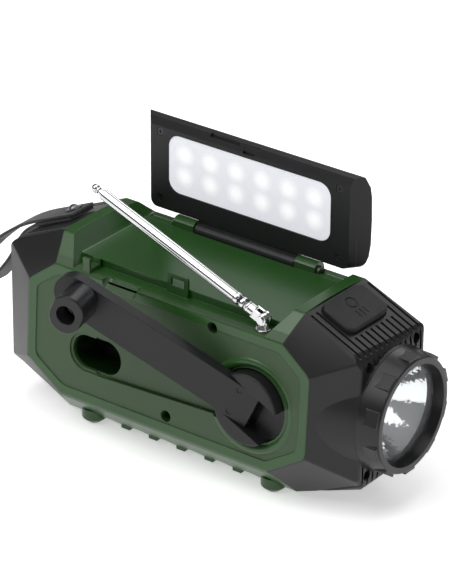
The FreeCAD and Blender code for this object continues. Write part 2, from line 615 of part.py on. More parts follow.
def crank_hub():
    disc = rod(HUB_R, V(0, 0, HUB_BACK), Z_AXIS, HUB_FRONT - HUB_BACK)
    disc = soften(disc, 0.8, lambda e: e.BoundBox.ZMin > HUB_FRONT - 0.1 and e.BoundBox.XLength > 5)
    slot = box(-30, 30, -ARM_HALF_W - 0.35, ARM_HALF_W + 0.35, PIN_W - ARM_THICK / 2 - 0.5, 10)
    pocket = box(-4.6, 5.0, -ARM_HALF_W - 0.35, ARM_HALF_W + 0.35, PIN_W - 4.6, 2)
    pin = rod(FOLD_PIN_R, V(0, -FOLD_PIN_HALF, PIN_W), Y_AXIS, 2 * FOLD_PIN_HALF)
    return placed(cut(disc, slot, pocket, pin), hub_frame())


def crank_fold_pin():
    pin = rod(FOLD_PIN_R, V(0, -FOLD_PIN_HALF, PIN_W), Y_AXIS, 2 * FOLD_PIN_HALF)
    return placed(pin, hub_frame())


def crank_arm():
    half = ARM_THICK / 2
    bar = rounded_block(ARM_REACH + ARM_TAIL + 2 * ARM_HALF_W - 5, 2 * ARM_HALF_W, 0.01, -half, half,
                        cx=(ARM_REACH + 2 * ARM_HALF_W - 5 - ARM_TAIL) / 2)
    tip_x = ARM_REACH + 2 * ARM_HALF_W - 5 - ARM_HALF_W
    bar = bar.common(box(-20, tip_x, -20, 20, -9, 9).fuse(rod(ARM_HALF_W, V(tip_x, 0, -9), Z_AXIS, 18)))
    heel = rod(half, V(0, -20, 0), Y_AXIS, 40).fuse(box(0, 200, -20, 20, -9, 9))
    heel = heel.fuse(box(-9, 0, -20, 20, 0, 9))
    bar = bar.common(heel)
    bar = soften(bar, 0.7, lambda e: e.BoundBox.XMax > 20 and abs(e.BoundBox.ZMax - e.BoundBox.ZMin) < 0.01)
    marks = [rod(1.6, V(7.6, sy * 7.0, half - 0.35), Z_AXIS, 2) for sy in (-1, 1)]
    holes = [rod(FOLD_PIN_R + 0.05, V(0, -20, 0), Y_AXIS, 40),
             rod(AXLE_R, V(ARM_REACH, 0, -9), Z_AXIS, 20)]
    return placed(cut(bar, *(marks + holes)), crank_frame())


def knob_axle():
    """Shoulder rivet that the knob turns on, sunk deep in its front hole."""
    shaft = rod(AXLE_R, V(ARM_REACH, 0, -ARM_THICK / 2), Z_AXIS, ARM_THICK + KNOB_H - KNOB_HOLE + 1.0)
    head = rod(KNOB_HOLE_R - 0.9, V(ARM_REACH, 0, ARM_THICK / 2 + KNOB_H - KNOB_HOLE + 0.35), Z_AXIS, 1.6)
    return placed(fuse([shaft, head]), crank_frame())


def crank_knob():
    z0 = ARM_THICK / 2 + 0.3
    z1 = ARM_THICK / 2 + KNOB_H
    body = rounded_block(KNOB_W, KNOB_L, KNOB_W / 2, z0, z1, ARM_REACH, 0)
    body = soften(body, 0.7, lambda e: e.BoundBox.ZMin > z1 - 0.1 or e.BoundBox.ZMax < z0 + 0.1)
    hole = rod(KNOB_HOLE_R, V(ARM_REACH, 0, z1 - KNOB_HOLE), Z_AXIS, 30)
    bore = rod(AXLE_R + 0.06, V(ARM_REACH, 0, 0), Z_AXIS, 40)
    return placed(cut(body, hole, bore), crank_frame())


# ---------------------------------------------------------------- gear train
def involute_gear(teeth, module, width, z0, turn, bore):
    """Spur gear in local XY with involute flanks, a tooth centred at angle turn (degrees)."""
    pitch_r = teeth * module / 2
    base_r = pitch_r * math.cos(math.radians(GEAR_PRESSURE))
    tip_r = pitch_r + 0.95 * module
    root_r = pitch_r - 1.25 * module

    def involute(r):
        a = math.acos(min(1.0, base_r / r))
        return math.tan(a) - a

    half_pitch = (math.pi * module / 2 - GEAR_BACKLASH) / 2 / pitch_r
    start_r = max(base_r, root_r + 0.05)
    tooth_angle = 2 * math.pi / teeth
    steps = 6
    radii = [start_r + (tip_r - start_r) * i / steps for i in range(steps + 1)]
    flank = [(r, half_pitch + involute(pitch_r) - involute(r)) for r in radii]
    points = []
    for index in range(teeth):
        centre = math.radians(turn) + index * tooth_angle
        points.append((root_r, centre - flank[0][1]))
        points += [(r, centre - a) for r, a in flank]
        points += [(r, centre + a) for r, a in reversed(flank)]
        points.append((root_r, centre + flank[0][1]))
    ring = [V(r * math.cos(a), r * math.sin(a), z0) for r, a in points]
    gear = polygon_prism(ring, V(0, 0, width))
    return gear.cut(rod(bore, V(0, 0, z0 - 1), Z_AXIS, width + 2)) if bore else gear


def mesh_turn(direction, teeth):
    """Turn of a gear so that a gap, not a tooth, faces back along direction."""
    return direction + 180 + 180 / teeth


def train_places():
    """Hub, middle wheel and rotor centres in face coordinates."""
    first = (MAIN_TEETH + PINION_TEETH) * MAIN_MODULE / 2 + GEAR_EXTRA_GAP
    second = (WHEEL_TEETH + ROTOR_TEETH) * FINE_MODULE / 2 + GEAR_EXTRA_GAP
    middle = V(HUB_X + first * math.cos(math.radians(TRAIN_TURN_1)),
               first * math.sin(math.radians(TRAIN_TURN_1)), 0)
    rotor = V(middle.x + second * math.cos(math.radians(TRAIN_TURN_2)),
              middle.y + second * math.sin(math.radians(TRAIN_TURN_2)), 0)
    return middle, rotor


def crank_shaft_gear():
    """Shaft pressed into the hub, with the first gear moulded on it."""
    shaft = rod(SHAFT_R, V(0, 0, -13.4), Z_AXIS, 13.4 + HUB_BACK)
    gear = involute_gear(MAIN_TEETH, MAIN_MODULE, 4.0, -17.4, TRAIN_TURN_1, 0)
    tail = rod(2.5, V(0, 0, PLATE_W - 1.8), Z_AXIS, -17.4 - PLATE_W + 1.8)
    windows = [rod(4.2, V(14.5 * math.cos(a), 14.5 * math.sin(a), -20), Z_AXIS, 8)
               for a in [math.radians(60 * i) for i in range(6)]]
    whole = cut(fuse([shaft, gear, tail]), *windows)
    return placed(placed(whole, Placement(V(HUB_X, 0, 0), Rotation())), FRONT)


def crank_bush():
    ring = rod(BUSH_R, V(HUB_X, 0, -12.4), Z_AXIS, 6.6)
    return placed(ring.cut(rod(SHAFT_R + 0.05, V(HUB_X, 0, -20), Z_AXIS, 30)), FRONT)


def middle_wheel():
    middle, _ = train_places()
    pinion = involute_gear(PINION_TEETH, MAIN_MODULE, 5.6, -18.4, mesh_turn(TRAIN_TURN_1, PINION_TEETH), 0)
    wheel = involute_gear(WHEEL_TEETH, FINE_MODULE, 3.0, -21.4, TRAIN_TURN_2, 0)
    whole = fuse([pinion, wheel]).cut(rod(GEAR_PIN_R + 0.05, V(0, 0, -30), Z_AXIS, 30))
    return placed(placed(whole, Placement(middle, Rotation())), FRONT)


def dynamo_rotor():
    _, rotor = train_places()
    pinion = involute_gear(ROTOR_TEETH, FINE_MODULE, 3.6, -21.7, mesh_turn(TRAIN_TURN_2, ROTOR_TEETH), 0)
    shaft = rod(1.0, V(0, 0, PLATE_W - 14), Z_AXIS, -21.7 - PLATE_W + 14)
    magnet = rod(7.6, V(0, 0, PLATE_W - 12.5), Z_AXIS, 9.0)
    return placed(placed(fuse([pinion, shaft, magnet]), Placement(rotor, Rotation())), FRONT)


def dynamo_stator():
    _, rotor = train_places()
    can = rod(11.5, V(0, 0, PLATE_W - 15.5), Z_AXIS, 15.5 - 1.9)
    can = cut(can, rod(8.2, V(0, 0, PLATE_W - 13.2), Z_AXIS, 10.4), rod(1.06, V(0, 0, -60), Z_AXIS, 60))
    return placed(placed(can, Placement(rotor, Rotation())), FRONT)


def gearbox_plate():
    """Plate behind the gears, held off the face on three posts."""
    middle, rotor = train_places()
    corners = [(-8, -4), (-8, 29), (40, 33.5), (47, 32), (64, 10), (60, -12), (28, -21), (14, -21)]
    plate = polygon_prism([V(x, v, PLATE_W - 1.8) for x, v in corners], V(0, 0, 1.8))
    posts = [rod(2.6, V(x, v, PLATE_W), Z_AXIS, -2.9 - PLATE_W) for x, v in PLATE_POSTS]
    pins = [rod(GEAR_PIN_R, V(middle.x, middle.y, -30), Z_AXIS, 20),
            rod(2.56, V(HUB_X, 0, -40), Z_AXIS, 30), rod(1.4, V(rotor.x, rotor.y, -40), Z_AXIS, 30)]
    return placed(cut(fuse([plate] + posts), *pins), FRONT)


def gear_pin():
    middle, _ = train_places()
    return placed(rod(GEAR_PIN_R, V(middle.x, middle.y, PLATE_W - 1.8), Z_AXIS, -12.4 - PLATE_W + 1.8), FRONT)


# ---------------------------------------------------------------- antenna
def antenna_frame():
    """Frame at the elbow pin: local X along the tubes, local Y back towards the lid."""
    up = math.radians(ANT_RAISED)
    return oriented(V(ANT_X, ANT_Y, ANT_Z), V(-math.cos(up), 0, math.sin(up)),
                    V(math.sin(up), 0, math.cos(up)))


def antenna_swivel():
    """Turning foot: collar, stem in the shell and an eye for the elbow rivet."""
    stem = rod(ANT_SEAT_R - 0.06, V(ANT_X, ANT_Y, LEDGE_Z - 9.5), Z_AXIS, 10.0)
    nut = rod(ANT_SEAT_R + 0.55, V(ANT_X, ANT_Y, LEDGE_Z - 10.6), Z_AXIS, 1.3)
    collar = rod(3.7, V(ANT_X, ANT_Y, LEDGE_Z + 0.12), Z_AXIS, 1.0)
    neck = cone(3.3, 2.6, V(ANT_X, ANT_Y, LEDGE_Z + 1.1), Z_AXIS, 1.8)
    tongue = box(ANT_X - 2.5, ANT_X + 2.5, ANT_Y - 1.1, ANT_Y + 1.1, LEDGE_Z + 2.5, ANT_Z)
    eye = rod(2.5, V(ANT_X, ANT_Y - 1.1, ANT_Z), Y_AXIS, 2.2)
    whole = fuse([stem, nut, collar, neck, tongue, eye])
    return whole.cut(rod(RIVET_R, V(ANT_X, ANT_Y - 5, ANT_Z), Y_AXIS, 10))


def antenna_rivet():
    shank = rod(RIVET_R, V(ANT_X, ANT_Y - 2.9, ANT_Z), Y_AXIS, 5.8)
    heads = [rod(1.9, V(ANT_X, ANT_Y - 3.5, ANT_Z), Y_AXIS, 0.8),
             rod(1.9, V(ANT_X, ANT_Y + 2.7, ANT_Z), Y_AXIS, 0.5)]
    return fuse([shank] + heads)


def antenna_knuckle():
    """Forked foot of the tube, slotted for the tongue."""
    eye = rod(2.9, V(0, -2.6, 0), Y_AXIS, 5.2)
    block = box(0, 6.0, -2.6, 2.6, -2.3, 2.3)
    collar = rod(3.0, V(5.2, 0, 0), X_AXIS, ANT_TUBE_START - 5.2)
    neck = rod(ANT_OUTER_R - ANT_WALL, V(ANT_TUBE_START - 0.5, 0, 0), X_AXIS, 3.5)
    whole = fuse([eye, block, collar, neck])
    slot = box(-4, 4.6, -1.3, 1.3, -4, 4)
    return placed(cut(whole, slot, rod(RIVET_R, V(0, -6, 0), Y_AXIS, 12)), antenna_frame())


def antenna_radius(index):
    """Outer radius of a tube section; index 0 is the widest."""
    return ANT_OUTER_R - index * (ANT_WALL + ANT_FIT)


def antenna_section(index):
    """Section of the telescope, pushed in, each standing a little out of the one before."""
    r = antenna_radius(index)
    end = ANT_TUBE_END + index * ANT_STEP_OUT
    start = ANT_TUBE_START if index == 0 else ANT_TUBE_START + 4.0 + index * 1.2
    tube = rod(r, V(start, 0, 0), X_AXIS, end - start)
    if index < ANT_SECTIONS - 1:
        tube = tube.cut(rod(r - ANT_WALL, V(start - 1, 0, 0), X_AXIS, end - start + 2))
    else:
        neck = rod(r * 0.75, V(end, 0, 0), X_AXIS, 1.6)
        tube = fuse([tube, neck])
    return placed(tube, antenna_frame())


def antenna_tip():
    """Small turned cap on the thinnest section."""
    base = ANT_TUBE_END + (ANT_SECTIONS - 1) * ANT_STEP_OUT + 0.4
    ball = Part.makeSphere(2.2, V(base + 2.1, 0, 0))
    collar = rod(1.7, V(base, 0, 0), X_AXIS, 1.0)
    whole = fuse([ball, collar]).common(box(base, base + 9, -5, 5, -5, 5))
    neck = rod(antenna_radius(ANT_SECTIONS - 1) * 0.75, V(base - 2, 0, 0), X_AXIS, 3.2)
    return placed(whole.cut(neck), antenna_frame())


# ---------------------------------------------------------------- lamp lid
def lid_side(sign):
    """Everything inboard of one spreading end of the lid, with its lower corner rounded."""
    start = LID_Y - 5.0
    shift = LID_END_SLOPE * (start - LID_Y)
    turn = LID_CORNER * math.sqrt(0.5)

    def at(x, z):
        return V(sign * (x + shift), start, z)

    edge, low = LID_FACE_X, LID_LOW_Z
    arc = Part.Arc(at(edge, low + LID_CORNER), at(edge - LID_CORNER + turn, low + LID_CORNER - turn),
                   at(edge - LID_CORNER, low)).toShape()
    corners = [at(edge - LID_CORNER, low), at(edge - LID_CORNER, low - 10), at(-90, low - 10),
               at(-90, 160), at(edge, 160), at(edge, low + LID_CORNER)]
    lines = [Part.makeLine(a, b) for a, b in zip(corners, corners[1:])]
    return Part.Face(Part.Wire([arc] + lines)).extrude(V(sign * 25 * LID_END_SLOPE, 25, 0))


def lid_profile(y0, y1):
    """Slice of the lid between two depths, cut from its full bevelled and domed section."""
    section = [(LID_Y, LID_LOW_Z)] + list(LID_BEVEL) + list(LID_DOME)
    whole = yz_prism(section, -LID_BACK_X - 2, LID_BACK_X + 2)
    for sign in (-1, 1):
        whole = whole.common(lid_side(sign))
    return whole.common(box(-90, 90, y0, y1, 80, 160)).removeSplitter()


def lamp_opening(grow, y0, y1):
    """Rounded window of the reading lamp as a block through depths y0 to y1."""
    height = LAMP_HIGH_Z - LAMP_LOW_Z
    block = rounded_block(2 * (LAMP_HALF_X + grow), height + 2 * grow, LAMP_CORNER + grow, y0, y1)
    return placed(block, Placement(V(0, 0, (LAMP_HIGH_Z + LAMP_LOW_Z) / 2), Rotation(X_AXIS, -90)))


def knuckle_clearance():
    """Room in the lid edge for the fixed knuckles and the latch tab."""
    tools = []
    for sign in (-1, 1):
        x0, x1 = sorted((sign * (KNUCKLE_IN - 0.6), sign * (KNUCKLE_OUT + 0.6)))
        tools.append(rod(KNUCKLE_R + 0.7, V(x0, LID_HINGE_Y, LID_HINGE_Z), X_AXIS, x1 - x0))
    return tools


def lid_frame():
    front = lid_profile(LID_Y, LID_SPLIT_Y)
    barrel = rod(BARREL_R, V(-BARREL_HALF, LID_HINGE_Y, LID_HINGE_Z), X_AXIS, 2 * BARREL_HALF)
    web = box(-BARREL_HALF, BARREL_HALF, LID_Y + 0.2, LID_SPLIT_Y, LID_HINGE_Z, LID_LOW_Z + 1)
    whole = fuse([front, barrel, web])
    tools = knuckle_clearance() + [rod(HINGE_PIN_R + 0.05, V(-60, LID_HINGE_Y, LID_HINGE_Z), X_AXIS, 120)]
    tools.append(lamp_opening(0, 20, 40))
    tools.append(lamp_opening(1.6, LID_Y + 1.4, 40))
    tools.append(box(-3.3, 3.3, LID_Y - 1, LID_Y + 1.3, LID_HIGH_Z - 4.6, LID_HIGH_Z - 3.0))
    tools.append(box(-24.0, -6.2, LID_Y - 1, LID_Y + 2.6, LID_HIGH_Z - 1.9, LID_HIGH_Z + 2))
    tools.append(box(-6.2, 6.2, LID_Y - 1, LID_Y + 2.1, LID_HIGH_Z - 0.7, LID_HIGH_Z + 2))
    for x, z in lid_screw_places():
        tools.append(rod(2.1, V(x, LID_Y - 1, z), Y_AXIS, 2.2))
        tools.append(rod(1.15, V(x, LID_Y, z), Y_AXIS, 8))
    return cut(whole, *tools)


def lid_screw_places():
    return [(sx * LID_SCREW_X, z) for sx in (-1, 1) for z in LID_SCREW_Z]


def lid_back():
    back = lid_profile(LID_SPLIT_Y + 0.02, 60)
    tools = knuckle_clearance()
    tools.append(lamp_opening(1.6, LID_SPLIT_Y - 1, LID_SPLIT_Y + 2.6))
    tools.append(solar_block(0.1, SOLAR_Y, LID_BACK_Y + 5))
    tools += [rod(1.0, V(x, LID_SPLIT_Y - 1, z), Y_AXIS, 4.5) for x, z in lid_screw_places()]
    return cut(back, *tools)


def solar_block(grow, y0, y1):
    return box(-56 - grow, 56 + grow, y0, y1, LID_LOW_Z + 7.5 - grow, LID_HIGH_Z - 9.0 + grow)


def solar_panel():
    return solar_block(-0.1, SOLAR_Y + 0.05, SOLAR_Y + 1.1)


def lamp_diffuser():
    plate = lamp_opening(-0.1, LID_Y + 0.5, LID_Y + 1.5)
    flange = lamp_opening(1.5, LID_Y + 1.5, LID_Y + 2.3)
    return fuse([plate, flange])


def lamp_board():
    return lamp_opening(1.2, LID_SPLIT_Y + 1.2, LID_SPLIT_Y + 2.4)


def lamp_leds():
    leds = []
    for column in range(LAMP_COLUMNS):
        for z in LAMP_ROWS_Z:
            x = (column - (LAMP_COLUMNS - 1) / 2) * LAMP_PITCH_X
            leds.append(box(x - 1.75, x + 1.75, LID_SPLIT_Y + 0.3, LID_SPLIT_Y + 1.2, z - 1.4, z + 1.4))
    return Part.makeCompound(leds)


def lid_screws():
    screws = []
    for x, z in lid_screw_places():
        shank = rod(1.0, V(x, LID_Y + 0.9, z), Y_AXIS, 5.6)
        head = rod(1.95, V(x, LID_Y + 0.15, z), Y_AXIS, 1.0)
        recess = [box(x - 1.1, x + 1.1, LID_Y - 1, LID_Y + 0.6, z - 0.25, z + 0.25),
                  box(x - 0.25, x + 0.25, LID_Y - 1, LID_Y + 0.6, z - 1.1, z + 1.1)]
        screws.append(cut(fuse([shank, head]), *recess))
    return Part.makeCompound(screws)


def hinge_pins():
    """Two steel pins driven in from the outer ends of the knuckles."""
    pins = []
    for sign in (-1, 1):
        x0, x1 = sorted((sign * (KNUCKLE_IN - 8), sign * (KNUCKLE_OUT + 0.2)))
        pin = rod(HINGE_PIN_R, V(x0, LID_HINGE_Y, LID_HINGE_Z), X_AXIS, x1 - x0)
        h0, h1 = sorted((sign * (KNUCKLE_OUT + 0.05), sign * (KNUCKLE_OUT + PIN_HEAD_L)))
        head = rod(PIN_HEAD_R, V(h0, LID_HINGE_Y, LID_HINGE_Z), X_AXIS, h1 - h0)
        pins.append(fuse([pin, head]))
    return Part.makeCompound(pins)


# ---------------------------------------------------------------- torch
def torch_bezel():
    ring = cone(CONE_R1, RIM_R, V(CONE_X1 + 0.05, 0, TORCH_Z), X_AXIS, RIM_X - CONE_X1 - 0.05)
    ring = soften(ring, 0.8, lambda e: e.BoundBox.XMin > RIM_X - 0.1)
    lugs = []
    for index in range(LUGS):
        lug = box(RIM_X - 8.4, RIM_X - 0.8, -4.0, 4.0, 24, RIM_R + 1.5)
        turn = Rotation(X_AXIS, 360 * index / LUGS)
        lugs.append(placed(lug, Placement(V(0, 0, TORCH_Z), turn)))
    whole = fuse([ring] + lugs)
    socket = rod(TORCH_BORE_R - 0.2, V(CONE_X1 - 7, 0, TORCH_Z), X_AXIS, 8)
    whole = whole.fuse(socket).removeSplitter()
    mouth = cone(LENS_R - 1.4, RIM_R - 3.2, V(RIM_X - 4.6, 0, TORCH_Z), X_AXIS, 4.6)
    through = rod(LENS_R - 1.4, V(80, 0, TORCH_Z), X_AXIS, 60)
    seat = rod(LENS_R, V(80, 0, TORCH_Z), X_AXIS, RIM_X - 4.6 - 0.9 - 80)
    return cut(whole, mouth.fuse(rod(RIM_R - 3.2, V(RIM_X, 0, TORCH_Z), X_AXIS, 5)), through, seat)


def torch_lens():
    return rod(LENS_R - 0.1, V(RIM_X - 7.4, 0, TORCH_Z), X_AXIS, 1.8)


def torch_seal():
    ring = rod(LENS_R - 0.1, V(RIM_X - 8.4, 0, TORCH_Z), X_AXIS, 0.95)
    return ring.cut(rod(LENS_R - 2.2, V(80, 0, TORCH_Z), X_AXIS, 60))


def torch_reflector():
    """Deep bowl with a parabolic wall, its lip behind the lens."""
    front_x = RIM_X - 8.5
    lip_r = LENS_R - 0.2
    mouth_r = LENS_R - 1.6
    depth = 21.0
    focus = mouth_r ** 2 / (4 * (depth + 0.9))
    steps = 14
    inner = []
    for index in range(steps + 1):
        x = depth * index / steps
        inner.append((front_x - depth + x, math.sqrt(4 * focus * (x + 0.9))))
    wall = 1.1
    outer = [(x, r + wall) for x, r in inner if r + wall < lip_r - 0.05]
    lip = [(front_x, lip_r), (front_x - 1.2, lip_r), (front_x - 1.2, outer[-1][1])]
    profile = inner + lip + outer[::-1][1:]
    wire = Part.makePolygon([V(x, 0, TORCH_Z + r) for x, r in profile + [profile[0]]])
    return Part.Face(wire).revolve(V(0, 0, TORCH_Z), X_AXIS, 360)


def torch_led():
    """Emitter with its domed lens, on the bottom of the bowl."""
    x = RIM_X - 8.5 - 21.0
    base = rod(3.0, V(x - 1.6, 0, TORCH_Z), X_AXIS, 1.8)
    dome = Part.makeSphere(2.3, V(x + 0.2, 0, TORCH_Z)).common(box(x + 0.1, x + 9, -9, 9, 0, 99))
    return fuse([base, dome])


def torch_heatsink():
    x = RIM_X - 8.5 - 21.0
    disc = rod(12.0, V(x - 4.0, 0, TORCH_Z), X_AXIS, 2.3)
    fins = [box(x - 9.0, x - 3.9, -9 + 3.6 * i - 0.6, -9 + 3.6 * i + 0.6, TORCH_Z - 7.5, TORCH_Z + 7.5)
            for i in range(6)]
    return fuse([disc] + fins)


# ---------------------------------------------------------------- buttons, display side, insides
def torch_button():
    """Rubber button with a sunk ring and three rays, held by an inner flange."""
    block = rounded_block(BUTTON_L, BUTTON_W, 5.0, -3.0, 3.0)
    block = soften(block, 1.2, lambda e: e.BoundBox.ZMin > 2.9)
    flange = rounded_block(BUTTON_L + 1.6, BUTTON_W + 3, 5.0, -4.4, -3.0)
    whole = fuse([block, flange])
    ring = rod(3.4, V(-3.0, 0, 2.6), Z_AXIS, 2).cut(rod(2.6, V(-3.0, 0, 0), Z_AXIS, 9))
    rays = [box(1.8, 6.0, y - 0.4, y + 0.4, 2.6, 4) for y in (-2.8, 0, 2.8)]
    return placed(cut(whole, ring, *rays), slope_frame(1))


def torch_switch():
    body = box(-3, 3, -3, 3, -10.5, -7.2)
    plunger = rod(1.5, V(0, 0, -7.3), Z_AXIS, 1.2)
    board = box(-9, 9, -14, 14, -12.1, -10.5)
    return placed(fuse([body, plunger, board]), slope_frame(1))


def rear_key(index):
    """Place of a push key on the display side, in rear-face coordinates."""
    return KEY_X0 + index * KEY_PITCH, KEY_V


def push_key(index):
    x, v = rear_key(index)
    cap = rounded_block(KEY_L, KEY_H, 1.6, -1.8, 1.6, x, v)
    cap = soften(cap, 0.5, lambda e: e.BoundBox.ZMin > 1.5)
    flange = rounded_block(KEY_L + 2, KEY_H + 2, 1.6, -3.0, -1.8, x, v)
    return placed(fuse([cap, flange]), REAR)


def front_fascia():
    """Black plate with the speaker grille, the display opening and the key openings."""
    plate = rounded_block(FASCIA_L, FASCIA_H, 8, -1.5, 0.6, FASCIA_X, FASCIA_V)
    plate = soften(plate, 0.5, lambda e: e.BoundBox.ZMin > 0.5)
    tools = [rounded_block(DISPLAY_L, DISPLAY_H, 3, -5, 5, DISPLAY_X, DISPLAY_V)]
    for index in range(KEYS):
        x, v = rear_key(index)
        tools.append(rounded_block(KEY_L + 2 * PRESS_GAP, KEY_H + 2 * PRESS_GAP, 1.8, -5, 5, x, v))
    for index in range(9):
        v = SPEAKER_V + (index - 4) * 4.0
        half = math.sqrt(18.5 ** 2 - (v - SPEAKER_V) ** 2)
        tools.append(rounded_block(2 * half, 2.0, 0.99, -5, 5, SPEAKER_X, v))
    tools.append(rounded_block(PORT_L + 2 * PRESS_GAP, PORT_H + 2 * PRESS_GAP, 1.5, -5, 5, PORT_X, PORT_V))
    return placed(cut(plate, *tools), REAR)


def display_window():
    return placed(rounded_block(DISPLAY_L - 0.2, DISPLAY_H - 0.2, 2.9, -1.0, 0.4, DISPLAY_X, DISPLAY_V), REAR)


def display_module():
    return placed(rounded_block(DISPLAY_L + 4, DISPLAY_H + 4, 1, -5.2, -1.6, DISPLAY_X, DISPLAY_V), REAR)


def speaker():
    basket = rod(19.5, V(SPEAKER_X, SPEAKER_V, -5.0), Z_AXIS, 3.2)
    funnel = cone(9.0, 18.0, V(SPEAKER_X, SPEAKER_V, -11.0), Z_AXIS, 6.0)
    magnet = rod(11.0, V(SPEAKER_X, SPEAKER_V, -16.0), Z_AXIS, 5.0)
    mouth = cone(4.0, 17.0, V(SPEAKER_X, SPEAKER_V, -8.0), Z_AXIS, 6.3)
    return placed(cut(fuse([basket, funnel, magnet]), mouth), REAR)


def main_board():
    board = rounded_block(74, 50, 2, -10.6, -9.0, 22, FASCIA_V)
    switches = []
    for index in range(KEYS):
        x, v = rear_key(index)
        switches.append(box(x - 1.8, x + 1.8, v - 1.8, v + 1.8, -9.0, -4.3))
    return placed(fuse([board] + switches), REAR)


def usb_ports():
    """Charging sockets behind the port cover."""
    block = rounded_block(PORT_L - 2, PORT_H - 1.5, 1, -12, -1.9, PORT_X, PORT_V)
    slots = [rounded_block(9.2, 3.4, 1.69, -8, 5, PORT_X - 7.4, PORT_V),
             box(PORT_X + 0.5, PORT_X + 13.0, PORT_V - 2.4, PORT_V + 2.4, -8, 5)]
    return placed(cut(block, *slots), REAR)


def port_cover():
    """Rubber flap over the charging sockets, its foot rounded about the line it hinges on."""
    inner, outer = BEAD_W - BEAD_R, BEAD_W + BEAD_R
    foot_v, top_v = PORT_V - PORT_H / 2 + BEAD_R, PORT_V + PORT_H / 2
    length = PORT_L - 1.2

    def at(v, w):
        return V(PORT_X - length / 2, v, w)

    corners = [at(foot_v, inner), at(top_v, inner), at(top_v, outer), at(foot_v, outer)]
    lines = [Part.makeLine(a, b) for a, b in zip(corners, corners[1:])]
    bead = Part.Arc(corners[-1], at(foot_v - BEAD_R, BEAD_W), corners[0]).toShape()
    flap = Part.Face(Part.Wire(lines + [bead])).extrude(V(length, 0, 0))
    pull = rounded_block(8, 1.6, 0.7, outer - 0.4, outer + 0.8, PORT_X, top_v - 1.6)
    return placed(fuse([flap, pull]), REAR)


def battery_cells():
    cells = []
    for y in (-11.0, 9.0):
        cell = rod(9.1, V(-62, y, 13.2), X_AXIS, 65)
        nub = rod(3.0, V(3, y, 13.2), X_AXIS, 1.2)
        cells.append(fuse([cell, nub]))
    return Part.makeCompound(cells)


def case_screws():
    screws = []
    for x, v in CASE_SCREWS:
        shank = rod(1.3, V(x, v, -14.6), Z_AXIS, 5.8)
        head = rod(2.6, V(x, v, -8.9), Z_AXIS, 1.8)
        recess = [box(x - 1.6, x + 1.6, v - 0.3, v + 0.3, -7.8, 0),
                  box(x - 0.3, x + 0.3, v - 1.6, v + 1.6, -7.8, 0)]
        screws.append(placed(cut(fuse([shank, head]), *recess), FRONT))
    return Part.makeCompound(screws)


def end_screws():
    """Screws deep in the four corners of both end faces."""
    screws = []
    for sign in (-1, 1):
        for y in (-END_SCREW_Y, END_SCREW_Y):
            for z in END_SCREW_Z:
                outwards = V(sign, 0, 0)
                head = rod(END_HEAD_R, V(sign * (BODY_END_X - 4.0), y, z), outwards, 1.6)
                shank = rod(END_SCREW_R, V(sign * (BODY_END_X - 12.5), y, z), outwards, 9.0)
                x0, x1 = sorted((sign * (BODY_END_X - 3.1), sign * BODY_END_X))
                cross = [box(x0, x1, y - 1.5, y + 1.5, z - 0.3, z + 0.3),
                         box(x0, x1, y - 0.3, y + 0.3, z - 1.5, z + 1.5)]
                screws.append(cut(fuse([head, shank]), *cross))
    return Part.makeCompound(screws)


def slope_z(x):
    """Height of the strap's middle line where it lies on the top slope of the left cap."""
    share = (x - BAND_END_X) / (BODY_END_X - BAND_END_X)
    return top_z(0) + (end_top_z(0) - top_z(0)) * share + STRAP_T / 2 * 1.12 + 0.27


def strap_path():
    """Line of the carry strap in XZ: out over the corner, round the loop and back beneath itself."""
    return [(-STRAP_IN_X, slope_z(STRAP_IN_X) + STRAP_LAYER),
            (-STRAP_TURN_X - 2.0, slope_z(STRAP_TURN_X + 2.0) + STRAP_LAYER),
            (-135.0, 66.5), (-152.5, 47.5), (-154.0, 35.5), (-143.0, 36.5), (-123.5, 59.5),
            (-STRAP_TURN_X, slope_z(STRAP_TURN_X)), (-STRAP_IN_X, slope_z(STRAP_IN_X))]


def carry_strap():
    """Webbing band swept along its path."""
    points = [V(x, 0, z) for x, z in strap_path()]
    edges = []
    previous = points[0]
    for a, b, c in zip(points, points[1:], points[2:]):
        before, after = (b - a), (c - b)
        turn = before.getAngle(after)
        back = 0.45 * min(before.Length, after.Length)
        p0 = b - V(before).normalize() * back
        p2 = b + V(after).normalize() * back
        radius = back / math.tan(turn / 2)
        inward = (V(after).normalize() - V(before).normalize()).normalize()
        centre = b + inward * (back / math.sin(turn / 2))
        p1 = centre - inward * radius
        if (p0 - previous).Length > 1e-6:
            edges.append(Part.makeLine(previous, p0))
        edges.append(Part.Arc(p0, p1, p2).toShape())
        previous = p2
    edges.append(Part.makeLine(previous, points[-1]))
    path = Part.Wire(edges)
    start = points[0]
    along = (points[1] - points[0]).normalize()
    side = along.cross(Y_AXIS).normalize()
    half_t = STRAP_T / 2
    corners = [start + side * half_t + Y_AXIS * (STRAP_W / 2), start - side * half_t + Y_AXIS * (STRAP_W / 2),
               start - side * half_t - Y_AXIS * (STRAP_W / 2), start + side * half_t - Y_AXIS * (STRAP_W / 2)]
    section = Part.makePolygon(corners + [corners[0]])
    return path.makePipeShell([section], True, False)


def strap_anchor():
    """Screw and washer that hold both ends of the strap on the left cap."""
    near, far = strap_path()[:2]
    along = V(far[0] - near[0], 0, far[1] - near[1]).normalize()
    off = V(along.z, 0, -along.x)
    place = V(near[0], 0, near[1]) + along * 5.5 + off * (STRAP_T / 2 + 0.02)
    washer = rod(4.2, place, off, 0.8)
    head = Part.makeSphere(3.0, place - off * 0.4).common(rod(3.0, place + off * 0.8, off, 5))
    return fuse([washer, head])


